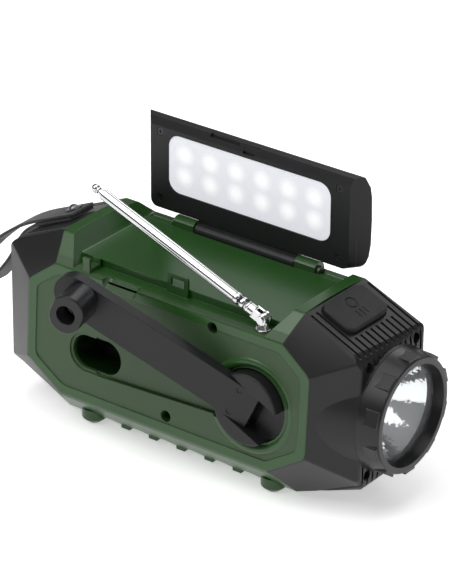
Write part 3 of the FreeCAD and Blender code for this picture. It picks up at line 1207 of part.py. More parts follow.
# ---------------------------------------------------------------- export
def build():
    crank_side, display_side, caps, feet = housing()
    nodes = {"crank_side_shell": crank_side, "display_side_shell": display_side, "feet": feet}
    nodes.update(caps)
    makers = [crank_hub, crank_fold_pin, crank_arm, knob_axle, crank_knob, crank_shaft_gear, crank_bush,
              middle_wheel, gear_pin, gearbox_plate, dynamo_rotor, dynamo_stator, antenna_swivel,
              antenna_rivet, antenna_knuckle, antenna_tip, lid_frame, lid_back, solar_panel,
              lamp_diffuser, lamp_board, lamp_leds, lid_screws, hinge_pins, torch_bezel, torch_lens,
              torch_seal, torch_reflector, torch_led, torch_heatsink, torch_button, torch_switch,
              front_fascia, display_window, display_module, speaker, main_board, usb_ports,
              port_cover, battery_cells, case_screws, end_screws, carry_strap, strap_anchor]
    for maker in makers:
        nodes[maker.__name__] = maker()
    for index in range(ANT_SECTIONS):
        nodes["antenna_section_%d" % (index + 1)] = antenna_section(index)
    for index, name in enumerate(KEY_NAMES):
        nodes[name] = push_key(index)
    return nodes


def row_shift(nodes):
    """Move that puts the row origin under the middle of the whole, on the ground."""
    whole = Part.makeCompound(list(nodes.values())).BoundBox
    return V(-(whole.XMin + whole.XMax) / 2, -(whole.YMin + whole.YMax) / 2, -whole.ZMin)


def export_all():
    os.makedirs("parts", exist_ok=True)
    nodes = build()
    shift = row_shift(nodes)
    for name, shape in nodes.items():
        moved = placed(shape, Placement(shift, Rotation()))
        moved.exportStep("parts/%s.step" % name)
    return nodes, shift


if __name__ == "__main__":
    made, shift = export_all()
    print("nodes", len(made), "row shift", shift)
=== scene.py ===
"""Crank emergency radio: surface finishes, webbing strap, small fittings, light and camera."""

import json
import math

import bmesh
import bpy
from bpy.props import FloatProperty, FloatVectorProperty, IntProperty, PointerProperty
from mathutils import Matrix, Quaternion, Vector


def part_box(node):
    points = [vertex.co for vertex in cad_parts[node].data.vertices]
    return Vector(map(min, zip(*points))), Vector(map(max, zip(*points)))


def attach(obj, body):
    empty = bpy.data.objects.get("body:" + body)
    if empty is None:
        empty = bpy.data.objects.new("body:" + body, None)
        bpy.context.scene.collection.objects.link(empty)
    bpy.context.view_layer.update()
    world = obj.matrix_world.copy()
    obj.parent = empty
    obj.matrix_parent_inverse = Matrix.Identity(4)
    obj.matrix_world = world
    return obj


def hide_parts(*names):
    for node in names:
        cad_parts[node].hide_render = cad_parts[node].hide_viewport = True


bl_info = {
    "name": "Crank Emergency Radio",
    "version": (1, 0, 0),
    "blender": (4, 5, 0),
    "location": "3D View > Sidebar > Radio",
    "description": "Finishes and dresses a hand-crank radio with a lamp lid and an end torch",
    "category": "Object",
}

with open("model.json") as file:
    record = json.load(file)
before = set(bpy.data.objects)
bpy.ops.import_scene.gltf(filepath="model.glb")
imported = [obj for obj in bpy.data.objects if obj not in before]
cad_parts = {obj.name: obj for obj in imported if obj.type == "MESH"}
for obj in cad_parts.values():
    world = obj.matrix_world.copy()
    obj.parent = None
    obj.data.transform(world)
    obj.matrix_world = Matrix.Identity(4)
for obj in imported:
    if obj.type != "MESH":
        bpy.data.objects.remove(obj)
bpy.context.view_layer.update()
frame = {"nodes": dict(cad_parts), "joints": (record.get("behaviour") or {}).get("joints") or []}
MM = 0.001
JOINTS = {joint["name"]: joint for joint in frame["joints"]}
FACE_POINT = Vector(JOINTS["crank_spin"]["pos_m"])      # on the crank face, at the hub
FACE_NORMAL = Vector(JOINTS["crank_spin"]["axis"]).normalized()
TUBE_FOOT = Vector(JOINTS["antenna_tilt"]["pos_m"])     # elbow of the antenna
TUBE_AXIS = Vector(JOINTS["antenna_slide_1"]["axis"]).normalized()
AIM_FROM_HUB = Vector((-0.0452, 0.03935, 0.0310))       # camera's aim, from the face point at the hub
# corners of the strap's middle line in millimetres from the hub: (along the body, up)
STRAP_POINTS = ((-135.3, 49.15), (-168.3, 34.45), (-188.3, 18.9), (-205.8, -0.1), (-207.3, -12.1),
                (-196.3, -11.1), (-176.8, 11.9), (-166.3, 33.25), (-135.3, 47.05))
# shell material: depths in millimetres behind the crank face
PANEL_STEP_DEPTH, PANEL_FAR_DEPTH = 0.27, 3.4           # the matte panel lies between these
SOCKET_NEAR, SOCKET_FAR = 3.5, 26.0                     # the knob socket, darkened with painted shade, lies between these
SOCKET_DROP, SOCKET_REACH = 4.4, 16.0                   # its middle below the hub, and its half height
# lamp and solar panel, in millimetres
LED_LONG, LED_TALL = 3.5, 2.8
BUS_OFFSET, FINGER_PITCH = 8.0, 1.6
# crimp rings on the antenna's foot: (distance along the tube, radius) in millimetres
CRIMP_PROFILE = [(8.5, 3.02), (9.6, 3.02), (9.9, 2.80), (11.4, 2.80), (11.7, 3.00), (13.4, 3.00),
                 (13.7, 2.79), (15.2, 2.79), (15.5, 2.96), (17.4, 2.96), (17.8, 2.78)]
CRIMP_BORE = 2.77
LATHE_STEPS = 48
STRAP_BEND_STEPS = 8
FLOOR_RADIUS = 6.0
# soft boxes: name, azimuth, elevation (degrees), distance, size (metres), watts before the gain
SOFT_BOXES = (("key", -28.0, 48.0, 1.5, 0.9, 22.0),
              ("fill", 78.0, 30.0, 1.7, 1.0, 8.0),
              ("top", 10.0, 86.0, 1.3, 1.1, 16.0),
              ("back", 190.0, 40.0, 1.6, 0.9, 12.0))


# ---------------------------------------------------------------- shader building
class Value:
    """A number in a material's node tree that takes Python arithmetic."""

    def __init__(self, finish, socket):
        self.finish = finish
        self.socket = socket

    def _math(self, operation, *terms):
        inputs = {index: term for index, term in enumerate(terms)}
        return self.finish.node("ShaderNodeMath", {"operation": operation}, inputs).out()

    def __add__(self, other):
        return self._math("ADD", self, other)

    def __radd__(self, other):
        return self._math("ADD", other, self)

    def __sub__(self, other):
        return self._math("SUBTRACT", self, other)

    def __rsub__(self, other):
        return self._math("SUBTRACT", other, self)

    def __mul__(self, other):
        return self._math("MULTIPLY", self, other)

    def __rmul__(self, other):
        return self._math("MULTIPLY", other, self)

    def __truediv__(self, other):
        return self._math("DIVIDE", self, other)

    def __abs__(self):
        return self._math("ABSOLUTE", self)

    def wrapped(self, period):
        """Distance to the nearest whole multiple of period."""
        return self._math("PINGPONG", self, period / 2)

    def sine(self):
        return self._math("SINE", self)

    def root(self):
        return self._math("SQRT", self)

    def step(self, low, high):
        """0 below low and 1 above high, eased between; low may be the larger, which turns it round."""
        node = self.finish.node("ShaderNodeMapRange", {"interpolation_type": "SMOOTHSTEP"},
                                {"Value": self, "From Min": min(low, high), "From Max": max(low, high)})
        eased = node.out("Result")
        return eased if low < high else 1 - eased


class Made:
    """A node just made, whose outputs are asked for by name."""

    def __init__(self, finish, node):
        self.finish = finish
        self.node = node

    def out(self, name=0):
        return Value(self.finish, self.node.outputs[name])


class Finish:
    """One procedural material, built from the surface shader back."""

    def __init__(self, name):
        self.material = bpy.data.materials.new(name)
        self.material.use_nodes = True
        self.tree = self.material.node_tree
        self.tree.nodes.clear()
        self.place = self.node("ShaderNodeTexCoord").out("Object")
        self.mm = self.vector("SCALE", self.place, scale=1000.0)

    def node(self, kind, settings=None, inputs=None):
        """Any node: its type, then its settings, then values or links of its sockets."""
        made = self.tree.nodes.new(kind)
        for name, value in (settings or {}).items():
            setattr(made, name, value)
        for name, value in (inputs or {}).items():
            if isinstance(value, Value):
                self.tree.links.new(value.socket, made.inputs[name])
            else:
                made.inputs[name].default_value = value
        return Made(self, made)

    def vector(self, operation, first, second=None, scale=None):
        inputs = {0: first}
        if second is not None:
            inputs[1] = second
        if scale is not None:
            inputs["Scale"] = scale
        return self.node("ShaderNodeVectorMath", {"operation": operation}, inputs).out()

    def dot(self, direction, origin=(0.0, 0.0, 0.0)):
        """Distance in millimetres along a direction from an origin given in metres."""
        moved = self.vector("SUBTRACT", self.mm, tuple(Vector(origin) * 1000.0))
        made = self.node("ShaderNodeVectorMath", {"operation": "DOT_PRODUCT"},
                         {0: moved, 1: tuple(direction)})
        return made.out("Value")

    def axes(self):
        made = self.node("ShaderNodeSeparateXYZ", None, {0: self.mm})
        return made.out("X"), made.out("Y"), made.out("Z")

    def noise(self, size, detail=2.0, roughness=0.5, stretch=None):
        """Cloudy pattern with patches about size millimetres across, from 0 to 1."""
        place = self.mm if stretch is None else self.vector("MULTIPLY", self.mm, stretch)
        inputs = {"Vector": place, "Scale": 1.0 / size, "Detail": detail, "Roughness": roughness}
        return self.node("ShaderNodeTexNoise", None, inputs).out("Fac")

    def cells(self, size, feature="F1"):
        inputs = {"Vector": self.mm, "Scale": 1.0 / size}
        return self.node("ShaderNodeTexVoronoi", {"feature": feature}, inputs).out("Distance")

    def blend(self, first, second, share):
        """Colour mix: first where share is 0, second where it is 1."""
        made = self.node("ShaderNodeMix", {"data_type": "RGBA"})
        for index, colour in ((6, first), (7, second)):
            if isinstance(colour, Value):
                self.tree.links.new(colour.socket, made.node.inputs[index])
            else:
                made.node.inputs[index].default_value = tuple(colour)[:3] + (1.0,)
        self.tree.links.new(share.socket, made.node.inputs[0])
        return Value(self, made.node.outputs[2])

    def edge_normal(self, radius):
        """Normal that rounds sharp edges over a radius in millimetres."""
        return self.node("ShaderNodeBevel", {"samples": 6}, {"Radius": radius * MM}).out("Normal")

    def edges(self, rounded):
        """1 along convex and concave edges, 0 on open faces."""
        flat = self.node("ShaderNodeNewGeometry").out("Normal")
        made = self.node("ShaderNodeVectorMath", {"operation": "DOT_PRODUCT"}, {0: rounded, 1: flat})
        return (1 - made.out("Value")).step(0.01, 0.12)

    def bump(self, height, depth, normal=None):
        """Normal raised by a height pattern whose full swing is depth millimetres."""
        inputs = {"Height": height, "Distance": depth * MM, "Strength": 1.0}
        if normal is not None:
            inputs["Normal"] = normal
        return self.node("ShaderNodeBump", None, inputs).out("Normal")

    def surface(self, **inputs):
        """Ends the material with a principled surface; underscores stand for spaces in socket names."""
        named = {name.replace("_", " "): value for name, value in inputs.items()}
        for name in ("Base Color", "Emission Color"):
            if name in named and not isinstance(named[name], Value):
                named[name] = tuple(named[name])[:3] + (1.0,)
        shader = self.node("ShaderNodeBsdfPrincipled", None, named)
        self.close(shader.out("BSDF"))
        return self.material

    def close(self, shader):
        self.node("ShaderNodeOutputMaterial", None, {"Surface": shader})


def shade(colour, gain):
    """Colour lightened or darkened by a gain."""
    return tuple(min(1.0, part * gain) for part in tuple(colour)[:3])


def dress(material, *nodes):
    """Gives nodes of the frame one material."""
    for name in nodes:
        mesh = frame["nodes"][name].data
        mesh.materials.clear()
        mesh.materials.append(material)


def piece(name, mesh_maker, body, material):
    """Turns a bmesh into a named piece that rides on a body."""
    mesh = bpy.data.meshes.new(name)
    bmesh.ops.recalc_face_normals(mesh_maker, faces=mesh_maker.faces)
    for face in mesh_maker.faces:
        face.smooth = True
    mesh_maker.to_mesh(mesh)
    mesh_maker.free()
    mesh.materials.append(material)
    made = bpy.data.objects.new(name, mesh)
    bpy.context.scene.collection.objects.link(made)
    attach(made, body)
    return made


def middle(node):
    low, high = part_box(node)
    return (Vector(low) + Vector(high)) / 2


# ---------------------------------------------------------------- finishes
def moulded_plastic(name, colour, roughness, grain, depth, edge=0.35, wear=0.5, worn=2.2):
    """Injection-moulded plastic: spark-eroded grain, faint cloudiness, polished and scuffed edges."""
    finish = Finish(name)
    rounded = finish.edge_normal(edge)
    scuff = finish.edges(rounded) * finish.noise(3.0, 3.0).step(0.35, 0.65) * wear
    cloud = finish.noise(26.0, 3.0)
    marks = finish.noise(2.4, 4.0, 0.6, (1.0, 0.22, 0.6)).step(0.62, 0.78)
    base = finish.blend(shade(colour, 0.86), shade(colour, 1.14), cloud)
    base = finish.blend(base, shade(colour, worn), scuff)
    rough = roughness + (cloud - 0.5) * 0.10 + marks * 0.05 - scuff * 0.08
    height = finish.noise(grain, 2.0, 0.6)
    normal = finish.bump(height, depth, rounded)
    return finish.surface(Base_Color=base, Roughness=rough, Normal=normal, IOR=1.49,
                          Specular_IOR_Level=0.36)


def shell_green(settings):
    """Green shell: glossy smooth plastic with a matte grained panel sunk into the crank face, and
    painted shade darkening the deep knob socket.
    """
    finish = Finish("Green shell")
    depth = finish.dot(FACE_NORMAL, FACE_POINT)
    panel = (depth + PANEL_STEP_DEPTH).step(0.07, -0.07) * (depth + PANEL_FAR_DEPTH).step(-0.2, 0.2)
    rounded = finish.edge_normal(0.45)
    scuff = finish.edges(rounded) * finish.noise(4.0, 3.0).step(0.35, 0.65)
    cloud = finish.noise(34.0, 3.0)
    gloss = finish.blend(shade(settings.gloss, 0.85), shade(settings.gloss, 1.18), cloud)
    matte = finish.blend(shade(settings.panel, 0.88), shade(settings.panel, 1.12), cloud)
    base = finish.blend(gloss, matte, panel)
    base = finish.blend(base, shade(settings.gloss, 2.0), scuff * 0.35)
    _, _, up = finish.axes()
    # painted shade: the deep knob socket is the same green plastic, darkened to near black as if little
    # light reached it
    socket_shade_band = abs(up - (FACE_POINT.z * 1000.0 - SOCKET_DROP)).step(SOCKET_REACH + 1.0, SOCKET_REACH)
    socket_painted_shade = (depth + SOCKET_NEAR).step(0.6, -0.6) * (depth + SOCKET_FAR).step(-0.5, 0.5) * socket_shade_band
    # painted shade laid into the base colour inside the knob socket
    base = finish.blend(base, shade(settings.gloss, 0.2), socket_painted_shade)
    marks = finish.noise(2.0, 4.0, 0.6, (0.25, 1.0, 1.0)).step(0.62, 0.8)
    rough = 0.30 + panel * 0.20 + marks * 0.06 + (cloud - 0.5) * 0.08
    fine = finish.noise(settings.grain, 2.0, 0.65)
    height = fine * (0.25 + panel * 0.75)
    normal = finish.bump(height, 0.035, rounded)
    return finish.surface(Base_Color=base, Roughness=rough, Normal=normal, IOR=1.5)


def bright_metal(name, colour, roughness, along, edge=0.15, streak=0.06):
    """Plated or turned metal with fine lines and a few fingerprints."""
    finish = Finish(name)
    rounded = finish.edge_normal(edge)
    lines = finish.noise(0.35, 3.0, 0.6, along)
    smudge = finish.noise(9.0, 3.0).step(0.45, 0.75)
    rough = roughness + lines * streak + smudge * 0.06
    base = finish.blend(shade(colour, 0.94), shade(colour, 1.05), lines)
    normal = finish.bump(lines, 0.004, rounded)
    return finish.surface(Base_Color=base, Roughness=rough, Metallic=1.0, Normal=normal)


def soft_rubber(name, colour):
    """Moulded rubber with a dusty bloom, strongest on its edges."""
    finish = Finish(name)
    rounded = finish.edge_normal(0.5)
    bloom = finish.edges(rounded) * 0.4 + finish.noise(11.0, 4.0).step(0.5, 0.8) * 0.3
    base = finish.blend(colour, shade(colour, 1.9), bloom)
    height = finish.noise(0.35, 3.0, 0.65)
    normal = finish.bump(height, 0.02, rounded)
    rough = 0.56 + finish.noise(5.0) * 0.12
    return finish.surface(Base_Color=base, Roughness=rough, Normal=normal, IOR=1.45)


def lamp_glow(settings):
    """Milky diffuser, lit from behind by rows of soft round spots."""
    finish = Finish("Lit diffuser")
    across, _, up = finish.axes()
    centre = middle("lamp_leds") * 1000.0
    low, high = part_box("lamp_leds")
    pitch = ((high[0] - low[0]) * 1000.0 - LED_LONG) / (settings.columns - 1)
    rows = (high[2] - low[2]) * 1000.0 - LED_TALL
    sideways = (across - (centre.x + pitch / 2)).wrapped(pitch)
    upward = abs(abs(up - centre.z) - rows / 2)
    reach = (sideways * sideways + upward * upward).root()
    spot = reach.step(settings.spot * 1.35, 0.6)
    cloud = finish.noise(7.0, 3.0)
    glow = finish.blend(settings.dim, settings.bright, spot)
    rough = 0.35 + cloud * 0.1
    normal = finish.bump(finish.noise(0.5, 2.0), 0.01, finish.edge_normal(0.4))
    return finish.surface(Base_Color=(0.55, 0.55, 0.57), Roughness=rough, Normal=normal,
                          Emission_Color=glow, Emission_Strength=settings.power)


def clear_window(name, tint, roughness=0.03):
    """Thin clear plastic: mostly see-through, with a faint sharp reflection and specks of dust."""
    finish = Finish(name)
    dust = finish.noise(1.2, 4.0, 0.7).step(0.66, 0.82)
    gloss = finish.node("ShaderNodeBsdfPrincipled", None, {
        "Base Color": tuple(tint) + (1.0,), "Roughness": roughness + dust * 0.2, "IOR": 1.5,
        "Normal": finish.bump(finish.noise(14.0), 0.02, finish.edge_normal(0.3))})
    through = finish.node("ShaderNodeBsdfTransparent", None, {"Color": (0.97, 0.98, 0.98, 1.0)})
    share = dust * 0.05 + 0.07
    mixed = finish.node("ShaderNodeMixShader", None, {0: share, 1: through.out(), 2: gloss.out()})
    finish.close(mixed.out())
    return finish.material


def reflector_chrome():
    """Vacuum-metallised bowl with a slight orange-peel dimple."""
    finish = Finish("Torch reflector")
    dimple = finish.cells(1.9, "SMOOTH_F1")
    fog = finish.noise(6.0, 3.0)
    rough = 0.05 + fog * 0.06
    normal = finish.bump(dimple, 0.10)
    return finish.surface(Base_Color=(0.93, 0.93, 0.94), Roughness=rough, Metallic=1.0, Normal=normal)


def solar_cells(settings):
    """Dark laminated cells split by silver bus lines and hair-thin fingers."""
    finish = Finish("Solar panel")
    across, _, up = finish.axes()
    centre = middle("solar_panel") * 1000.0
    low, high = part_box("solar_panel")
    width = (high[0] - low[0]) * 1000.0
    cell = width / settings.cells
    gap = (across - centre.x - width / 2).wrapped(cell).step(0.55, 0.40)
    bus = abs(abs(up - centre.z) - BUS_OFFSET).step(0.5, 0.35)
    finger = (up - centre.z).wrapped(FINGER_PITCH).step(0.12, 0.06)
    tone = finish.noise(5.0, 3.0)
    base = finish.blend((0.008, 0.012, 0.045), (0.018, 0.024, 0.085), tone)
    base = finish.blend(base, (0.20, 0.21, 0.24), finger * 0.5)
    base = finish.blend(base, (0.55, 0.56, 0.58), bus)
    base = finish.blend(base, (0.30, 0.31, 0.33), gap)
    rough = 0.16 + tone * 0.08
    normal = finish.bump(finish.noise(3.0), 0.01, finish.edge_normal(0.3))
    return finish.surface(Base_Color=base, Roughness=rough, Normal=normal, Coat_Weight=0.6)


def circuit_board():
    """Green solder mask over fine copper tracks, with tinned pads."""
    finish = Finish("Circuit board")
    tracks = finish.cells(3.2, "DISTANCE_TO_EDGE").step(0.06, 0.02)
    pads = finish.cells(2.3).step(0.16, 0.12)
    base = finish.blend((0.012, 0.085, 0.035), (0.03, 0.16, 0.06), tracks)
    base = finish.blend(base, (0.62, 0.60, 0.55), pads)
    return finish.surface(Base_Color=base, Roughness=0.35 + tracks * 0.1,
                          Metallic=pads, Normal=finish.edge_normal(0.2))


def phosphor():
    """Yellow phosphor, slightly mottled."""
    finish = Finish("Emitter")
    spot = finish.noise(1.2)
    base = finish.blend((0.80, 0.66, 0.20), (0.92, 0.84, 0.45), spot)
    return finish.surface(Base_Color=base, Roughness=0.25 + spot * 0.1, Normal=finish.edge_normal(0.2))


def cell_sleeve():
    """Wrinkled shrink sleeve of the battery cells, with bright metal ends."""
    finish = Finish("Cell sleeve")
    across, _, _ = finish.axes()
    low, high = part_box("battery_cells")
    centre_x = middle("battery_cells").x * 1000.0
    half = (high[0] - low[0]) / 2 * 1000.0
    ends = abs(across - centre_x).step(half - 3.2, half - 2.6)
    wrinkle = finish.noise(3.0, 3.0, 0.6, (0.3, 1.0, 1.0))
    base = finish.blend((0.05, 0.24, 0.28), (0.08, 0.33, 0.37), wrinkle)
    base = finish.blend(base, (0.62, 0.62, 0.62), ends)
    return finish.surface(Base_Color=base, Roughness=0.3 + wrinkle * 0.1, Metallic=ends,
                          Normal=finish.bump(wrinkle, 0.05, finish.edge_normal(0.3)))


def webbing(settings):
    """Woven strap: crossing yarns laid out by the strap's own length and width."""
    finish = Finish("Webbing")
    made = finish.node("ShaderNodeUVMap", {"uv_map": "weave"}).out()
    split = finish.node("ShaderNodeSeparateXYZ", None, {0: made})
    along, across = split.out("X"), split.out("Y")
    warp = (across * (math.pi / settings.yarn)).sine()
    weft = (along * (math.pi / (settings.yarn * 0.8)) + warp * 1.6).sine()
    height = (warp * 0.5 + 0.5) * 0.6 + (weft * 0.5 + 0.5) * 0.4
    fuzz = finish.noise(0.25, 3.0, 0.7)
    border = abs(across).step(settings.width / 2 - 1.6, settings.width / 2 - 1.2)
    tone = height * 0.7 + fuzz * 0.3
    base = finish.blend(shade(settings.colour, 0.45), shade(settings.colour, 1.8), tone)
    base = finish.blend(base, shade(settings.colour, 0.6), border * 0.6)
    normal = finish.bump(tone, 0.22)
    return finish.surface(Base_Color=base, Roughness=0.75 + fuzz * 0.15, Normal=normal,
                          Sheen_Weight=0.25)


def display_glass():
    """Smoked window with faint smears."""
    finish = Finish("Display window")
    smear = finish.noise(12.0, 4.0, 0.6, (1.0, 1.0, 0.4)).step(0.45, 0.7)
    base = finish.blend((0.006, 0.007, 0.008), (0.011, 0.012, 0.013), smear)
    return finish.surface(Base_Color=base, Roughness=0.05 + smear * 0.10,
                          Normal=finish.edge_normal(0.4), Coat_Weight=0.5)


# ---------------------------------------------------------------- settings
def colour_setting(name, description, value):
    return FloatVectorProperty(name=name, description=description, default=value, size=3,
                               subtype="COLOR", min=0.0, max=1.0)


class RadioShellSettings(bpy.types.PropertyGroup):
    gloss: colour_setting("Gloss green", "Colour of the smooth border, deck and ridges",
                          (0.014, 0.060, 0.009))
    panel: colour_setting("Panel green", "Colour of the sunk grained panel", (0.022, 0.056, 0.015))
    grain: FloatProperty(name="Grain", description="Width of the mould grain in millimetres",
                         default=0.55, min=0.2, max=3.0)


class RadioBlackSettings(bpy.types.PropertyGroup):
    caps: colour_setting("Caps", "Colour of the end caps and the torch bezel", (0.009, 0.009, 0.0095))
    lid: colour_setting("Lid", "Colour of the lamp lid", (0.009, 0.009, 0.010))
    crank: colour_setting("Crank", "Colour of the crank arm and hub", (0.0075, 0.0075, 0.0085))
    rubber: colour_setting("Rubber", "Colour of the keys, the torch button and the port cover",
                           (0.009, 0.009, 0.0095))


class RadioLampSettings(bpy.types.PropertyGroup):
    columns: IntProperty(name="Columns", description="Lamp spots in a row", default=6, min=2, max=12)
    spot: FloatProperty(name="Spot", description="Radius of a lamp spot in millimetres", default=5.2,
                        min=1.0, max=12.0)
    power: FloatProperty(name="Power", description="Strength of the lamp's glow", default=0.62, min=0.0)
    dim: colour_setting("Dim", "Glow between the spots", (0.62, 0.63, 0.68))
    bright: colour_setting("Bright", "Glow over a spot", (1.0, 1.0, 1.0))
    cells: IntProperty(name="Solar cells", description="Cells in the solar panel", default=10,
                       min=2, max=24)


class RadioStrapSettings(bpy.types.PropertyGroup):
    width: FloatProperty(name="Width", description="Width of the strap in millimetres",
                         default=18.0, min=5.0)
    thick: FloatProperty(name="Thickness", description="Thickness of the strap in millimetres",
                         default=1.5, min=0.5)
    yarn: FloatProperty(name="Yarn", description="Width of one yarn in millimetres",
                        default=1.0, min=0.3)
    colour: colour_setting("Colour", "Colour of the webbing", (0.016, 0.016, 0.018))


class RadioStageSettings(bpy.types.PropertyGroup):
    floor: colour_setting("Floor", "Colour of the floor", (0.93, 0.93, 0.93))
    floor_glow: FloatProperty(name="Floor glow", description="Light the floor gives off itself",
                              default=0.50, min=0.0)
    azimuth: FloatProperty(name="Azimuth", description="Camera angle round the radio",
                           default=math.radians(36.94), subtype="ANGLE")
    elevation: FloatProperty(name="Elevation", description="Camera angle above the floor",
                             default=math.radians(27.13), subtype="ANGLE")
    roll: FloatProperty(name="Roll", description="Turn of the camera about its line of sight",
                        default=math.radians(0.36), subtype="ANGLE")
    distance: FloatProperty(name="Distance", description="Camera to aim point", default=1.661,
                            unit="LENGTH")
    aim: FloatVectorProperty(name="Aim", description="Point the camera looks at", size=3,
                             subtype="TRANSLATION", default=tuple(FACE_POINT + AIM_FROM_HUB))
    room: FloatProperty(name="Room", description="Strength of the even light from all sides",
                        default=0.17, min=0.0)
    boxes: FloatProperty(name="Soft boxes", description="Gain of the four soft boxes",
                         default=0.50, min=0.0)
    lens: FloatProperty(name="Lens", description="Focal length in millimetres", default=209.9, min=20.0)


# ---------------------------------------------------------------- operators
class RADIO_OT_shells(bpy.types.Operator):
    """Finish the green shells and feet"""
    bl_idname = "radio.shells"
    bl_label = "Green Shells"

    def execute(self, context):
        scene = context.scene
        dress(shell_green(scene.radio_shell), "crank_side_shell", "display_side_shell", "feet")
        return {"FINISHED"}


class RADIO_OT_caps(bpy.types.Operator):
    """Finish the black end caps, the torch bezel and the screws in them"""
    bl_idname = "radio.caps"
    bl_label = "End Caps"

    def execute(self, context):
        scene = context.scene
        black = scene.radio_black
        dress(moulded_plastic("Cap black", black.caps, 0.40, 0.5, 0.03), "left_end_cap", "right_end_cap")
        bezel = moulded_plastic("Bezel black", shade(black.caps, 1.15), 0.30, 0.4, 0.012, 0.5)
        dress(bezel, "torch_bezel")
        dress(soft_rubber("Button rubber", black.rubber), "torch_button")
        dress(bright_metal("Blackened screws", (0.10, 0.10, 0.11), 0.35, (1.0, 1.0, 1.0)),
              "end_screws", "case_screws")
        return {"FINISHED"}


class RADIO_OT_torch(bpy.types.Operator):
    """Finish the lens, the reflector and what is behind them"""
    bl_idname = "radio.torch"
    bl_label = "Torch"

    def execute(self, context):
        scene = context.scene
        dress(clear_window("Torch lens", (0.9, 0.92, 0.93)), "torch_lens")
        dress(reflector_chrome(), "torch_reflector")
        dress(soft_rubber("Seal rubber", scene.radio_black.rubber), "torch_seal")
        dress(phosphor(), "torch_led", "lamp_leds")
        dress(bright_metal("Heat sink", (0.70, 0.71, 0.72), 0.38, (0.2, 1.0, 1.0)), "torch_heatsink")
        dress(circuit_board(), "torch_switch", "lamp_board", "main_board")
        return {"FINISHED"}


class RADIO_OT_lid(bpy.types.Operator):
    """Finish the lamp lid with its diffuser and solar panel"""
    bl_idname = "radio.lid"
    bl_label = "Lamp Lid"

    def execute(self, context):
        scene = context.scene
        black = scene.radio_black
        dress(moulded_plastic("Lid black", black.lid, 0.42, 0.45, 0.02), "lid_frame", "lid_back")
        dress(lamp_glow(scene.radio_lamp), "lamp_diffuser")
        dress(solar_cells(scene.radio_lamp), "solar_panel")
        dress(bright_metal("Lid screws", (0.06, 0.06, 0.065), 0.32, (1.0, 1.0, 1.0)), "lid_screws")
        dress(bright_metal("Hinge pins", (0.10, 0.12, 0.09), 0.42, (0.2, 1.0, 1.0)), "hinge_pins")
        return {"FINISHED"}


class RADIO_OT_crank(bpy.types.Operator):
    """Finish the crank, its folding arm and its knob"""
    bl_idname = "radio.crank"
    bl_label = "Crank"

    def execute(self, context):
        scene = context.scene
        black = scene.radio_black
        dress(moulded_plastic("Crank grey", black.crank, 0.46, 0.5, 0.02, 0.5), "crank_arm", "crank_hub")
        knob = moulded_plastic("Knob grey", shade(black.crank, 1.25), 0.30, 0.4, 0.008, 0.6)
        dress(knob, "crank_knob")
        dress(bright_metal("Crank pins", (0.50, 0.50, 0.51), 0.30, (1.0, 0.2, 1.0)),
              "crank_fold_pin", "knob_axle")
        return {"FINISHED"}


class RADIO_OT_gears(bpy.types.Operator):
    """Finish the gear train, the dynamo and the cells"""
    bl_idname = "radio.gears"
    bl_label = "Gears and Power"

    def execute(self, context):
        scene = context.scene
        black = scene.radio_black
        dress(moulded_plastic("Gear acetal", (0.74, 0.73, 0.68), 0.38, 0.8, 0.008, 0.1, 0.2, 1.1),
              "crank_shaft_gear", "middle_wheel")
        dress(moulded_plastic("Plate black", black.caps, 0.45, 0.6, 0.02), "gearbox_plate")
        dress(bright_metal("Bush bronze", (0.60, 0.42, 0.20), 0.40, (1.0, 1.0, 1.0)), "crank_bush")
        dress(bright_metal("Dynamo steel", (0.50, 0.50, 0.52), 0.36, (1.0, 0.2, 1.0)),
              "gear_pin", "dynamo_stator", "dynamo_rotor")
        dress(cell_sleeve(), "battery_cells")
        return {"FINISHED"}


class RADIO_OT_antenna(bpy.types.Operator):
    """Finish the telescopic antenna and add the crimp rings of its foot"""
    bl_idname = "radio.antenna"
    bl_label = "Antenna"

    def execute(self, context):
        chrome = bright_metal("Antenna chrome", (0.60, 0.60, 0.61), 0.08, (0.15, 1.0, 1.0), 0.2, 0.04)
        tubes = [name for name in frame["nodes"] if name.startswith("antenna_section_")]
        dress(chrome, "antenna_swivel", "antenna_rivet", "antenna_knuckle", "antenna_tip", *tubes)
        sleeve = lathe(CRIMP_PROFILE, TUBE_FOOT, TUBE_AXIS, CRIMP_BORE)
        piece("antenna_crimp_sleeve", sleeve, "mast_1", chrome)
        return {"FINISHED"}


def lathe(profile, foot, axis, inner):
    """Turned sleeve about an axis: (distance, radius) pairs in millimetres, closed inwards to a bore."""
    ring = profile + [(profile[-1][0], inner), (profile[0][0], inner)]
    made = bmesh.new()
    corners = [made.verts.new((radius * MM, 0.0, along * MM)) for along, radius in ring]
    edges = [made.edges.new((a, b)) for a, b in zip(corners, corners[1:] + corners[:1])]
    bmesh.ops.spin(made, geom=corners + edges, cent=(0, 0, 0), axis=(0, 0, 1), angle=math.tau,
                   steps=LATHE_STEPS, use_merge=True)
    bmesh.ops.remove_doubles(made, verts=made.verts, dist=1e-6)
    turn = Vector((0, 0, 1)).rotation_difference(axis).to_matrix().to_4x4()
    bmesh.ops.transform(made, matrix=Matrix.Translation(foot) @ turn, verts=made.verts)
    return made


class RADIO_OT_display_side(bpy.types.Operator):
    """Finish the side with the display, the speaker and the keys"""
    bl_idname = "radio.display_side"
    bl_label = "Display Side"

    def execute(self, context):
        scene = context.scene
        black = scene.radio_black
        dress(moulded_plastic("Fascia black", black.lid, 0.36, 0.5, 0.02), "front_fascia")
        dress(display_glass(), "display_window", "display_module")
        dress(moulded_plastic("Speaker pulp", (0.030, 0.029, 0.028), 0.7, 1.2, 0.08), "speaker")
        keys = [name for name in frame["nodes"] if name.endswith("_key")]
        dress(soft_rubber("Key rubber", shade(black.rubber, 1.6)), "port_cover", *keys)
        dress(bright_metal("Socket steel", (0.62, 0.62, 0.63), 0.28, (1.0, 1.0, 0.2)), "usb_ports")
        return {"FINISHED"}


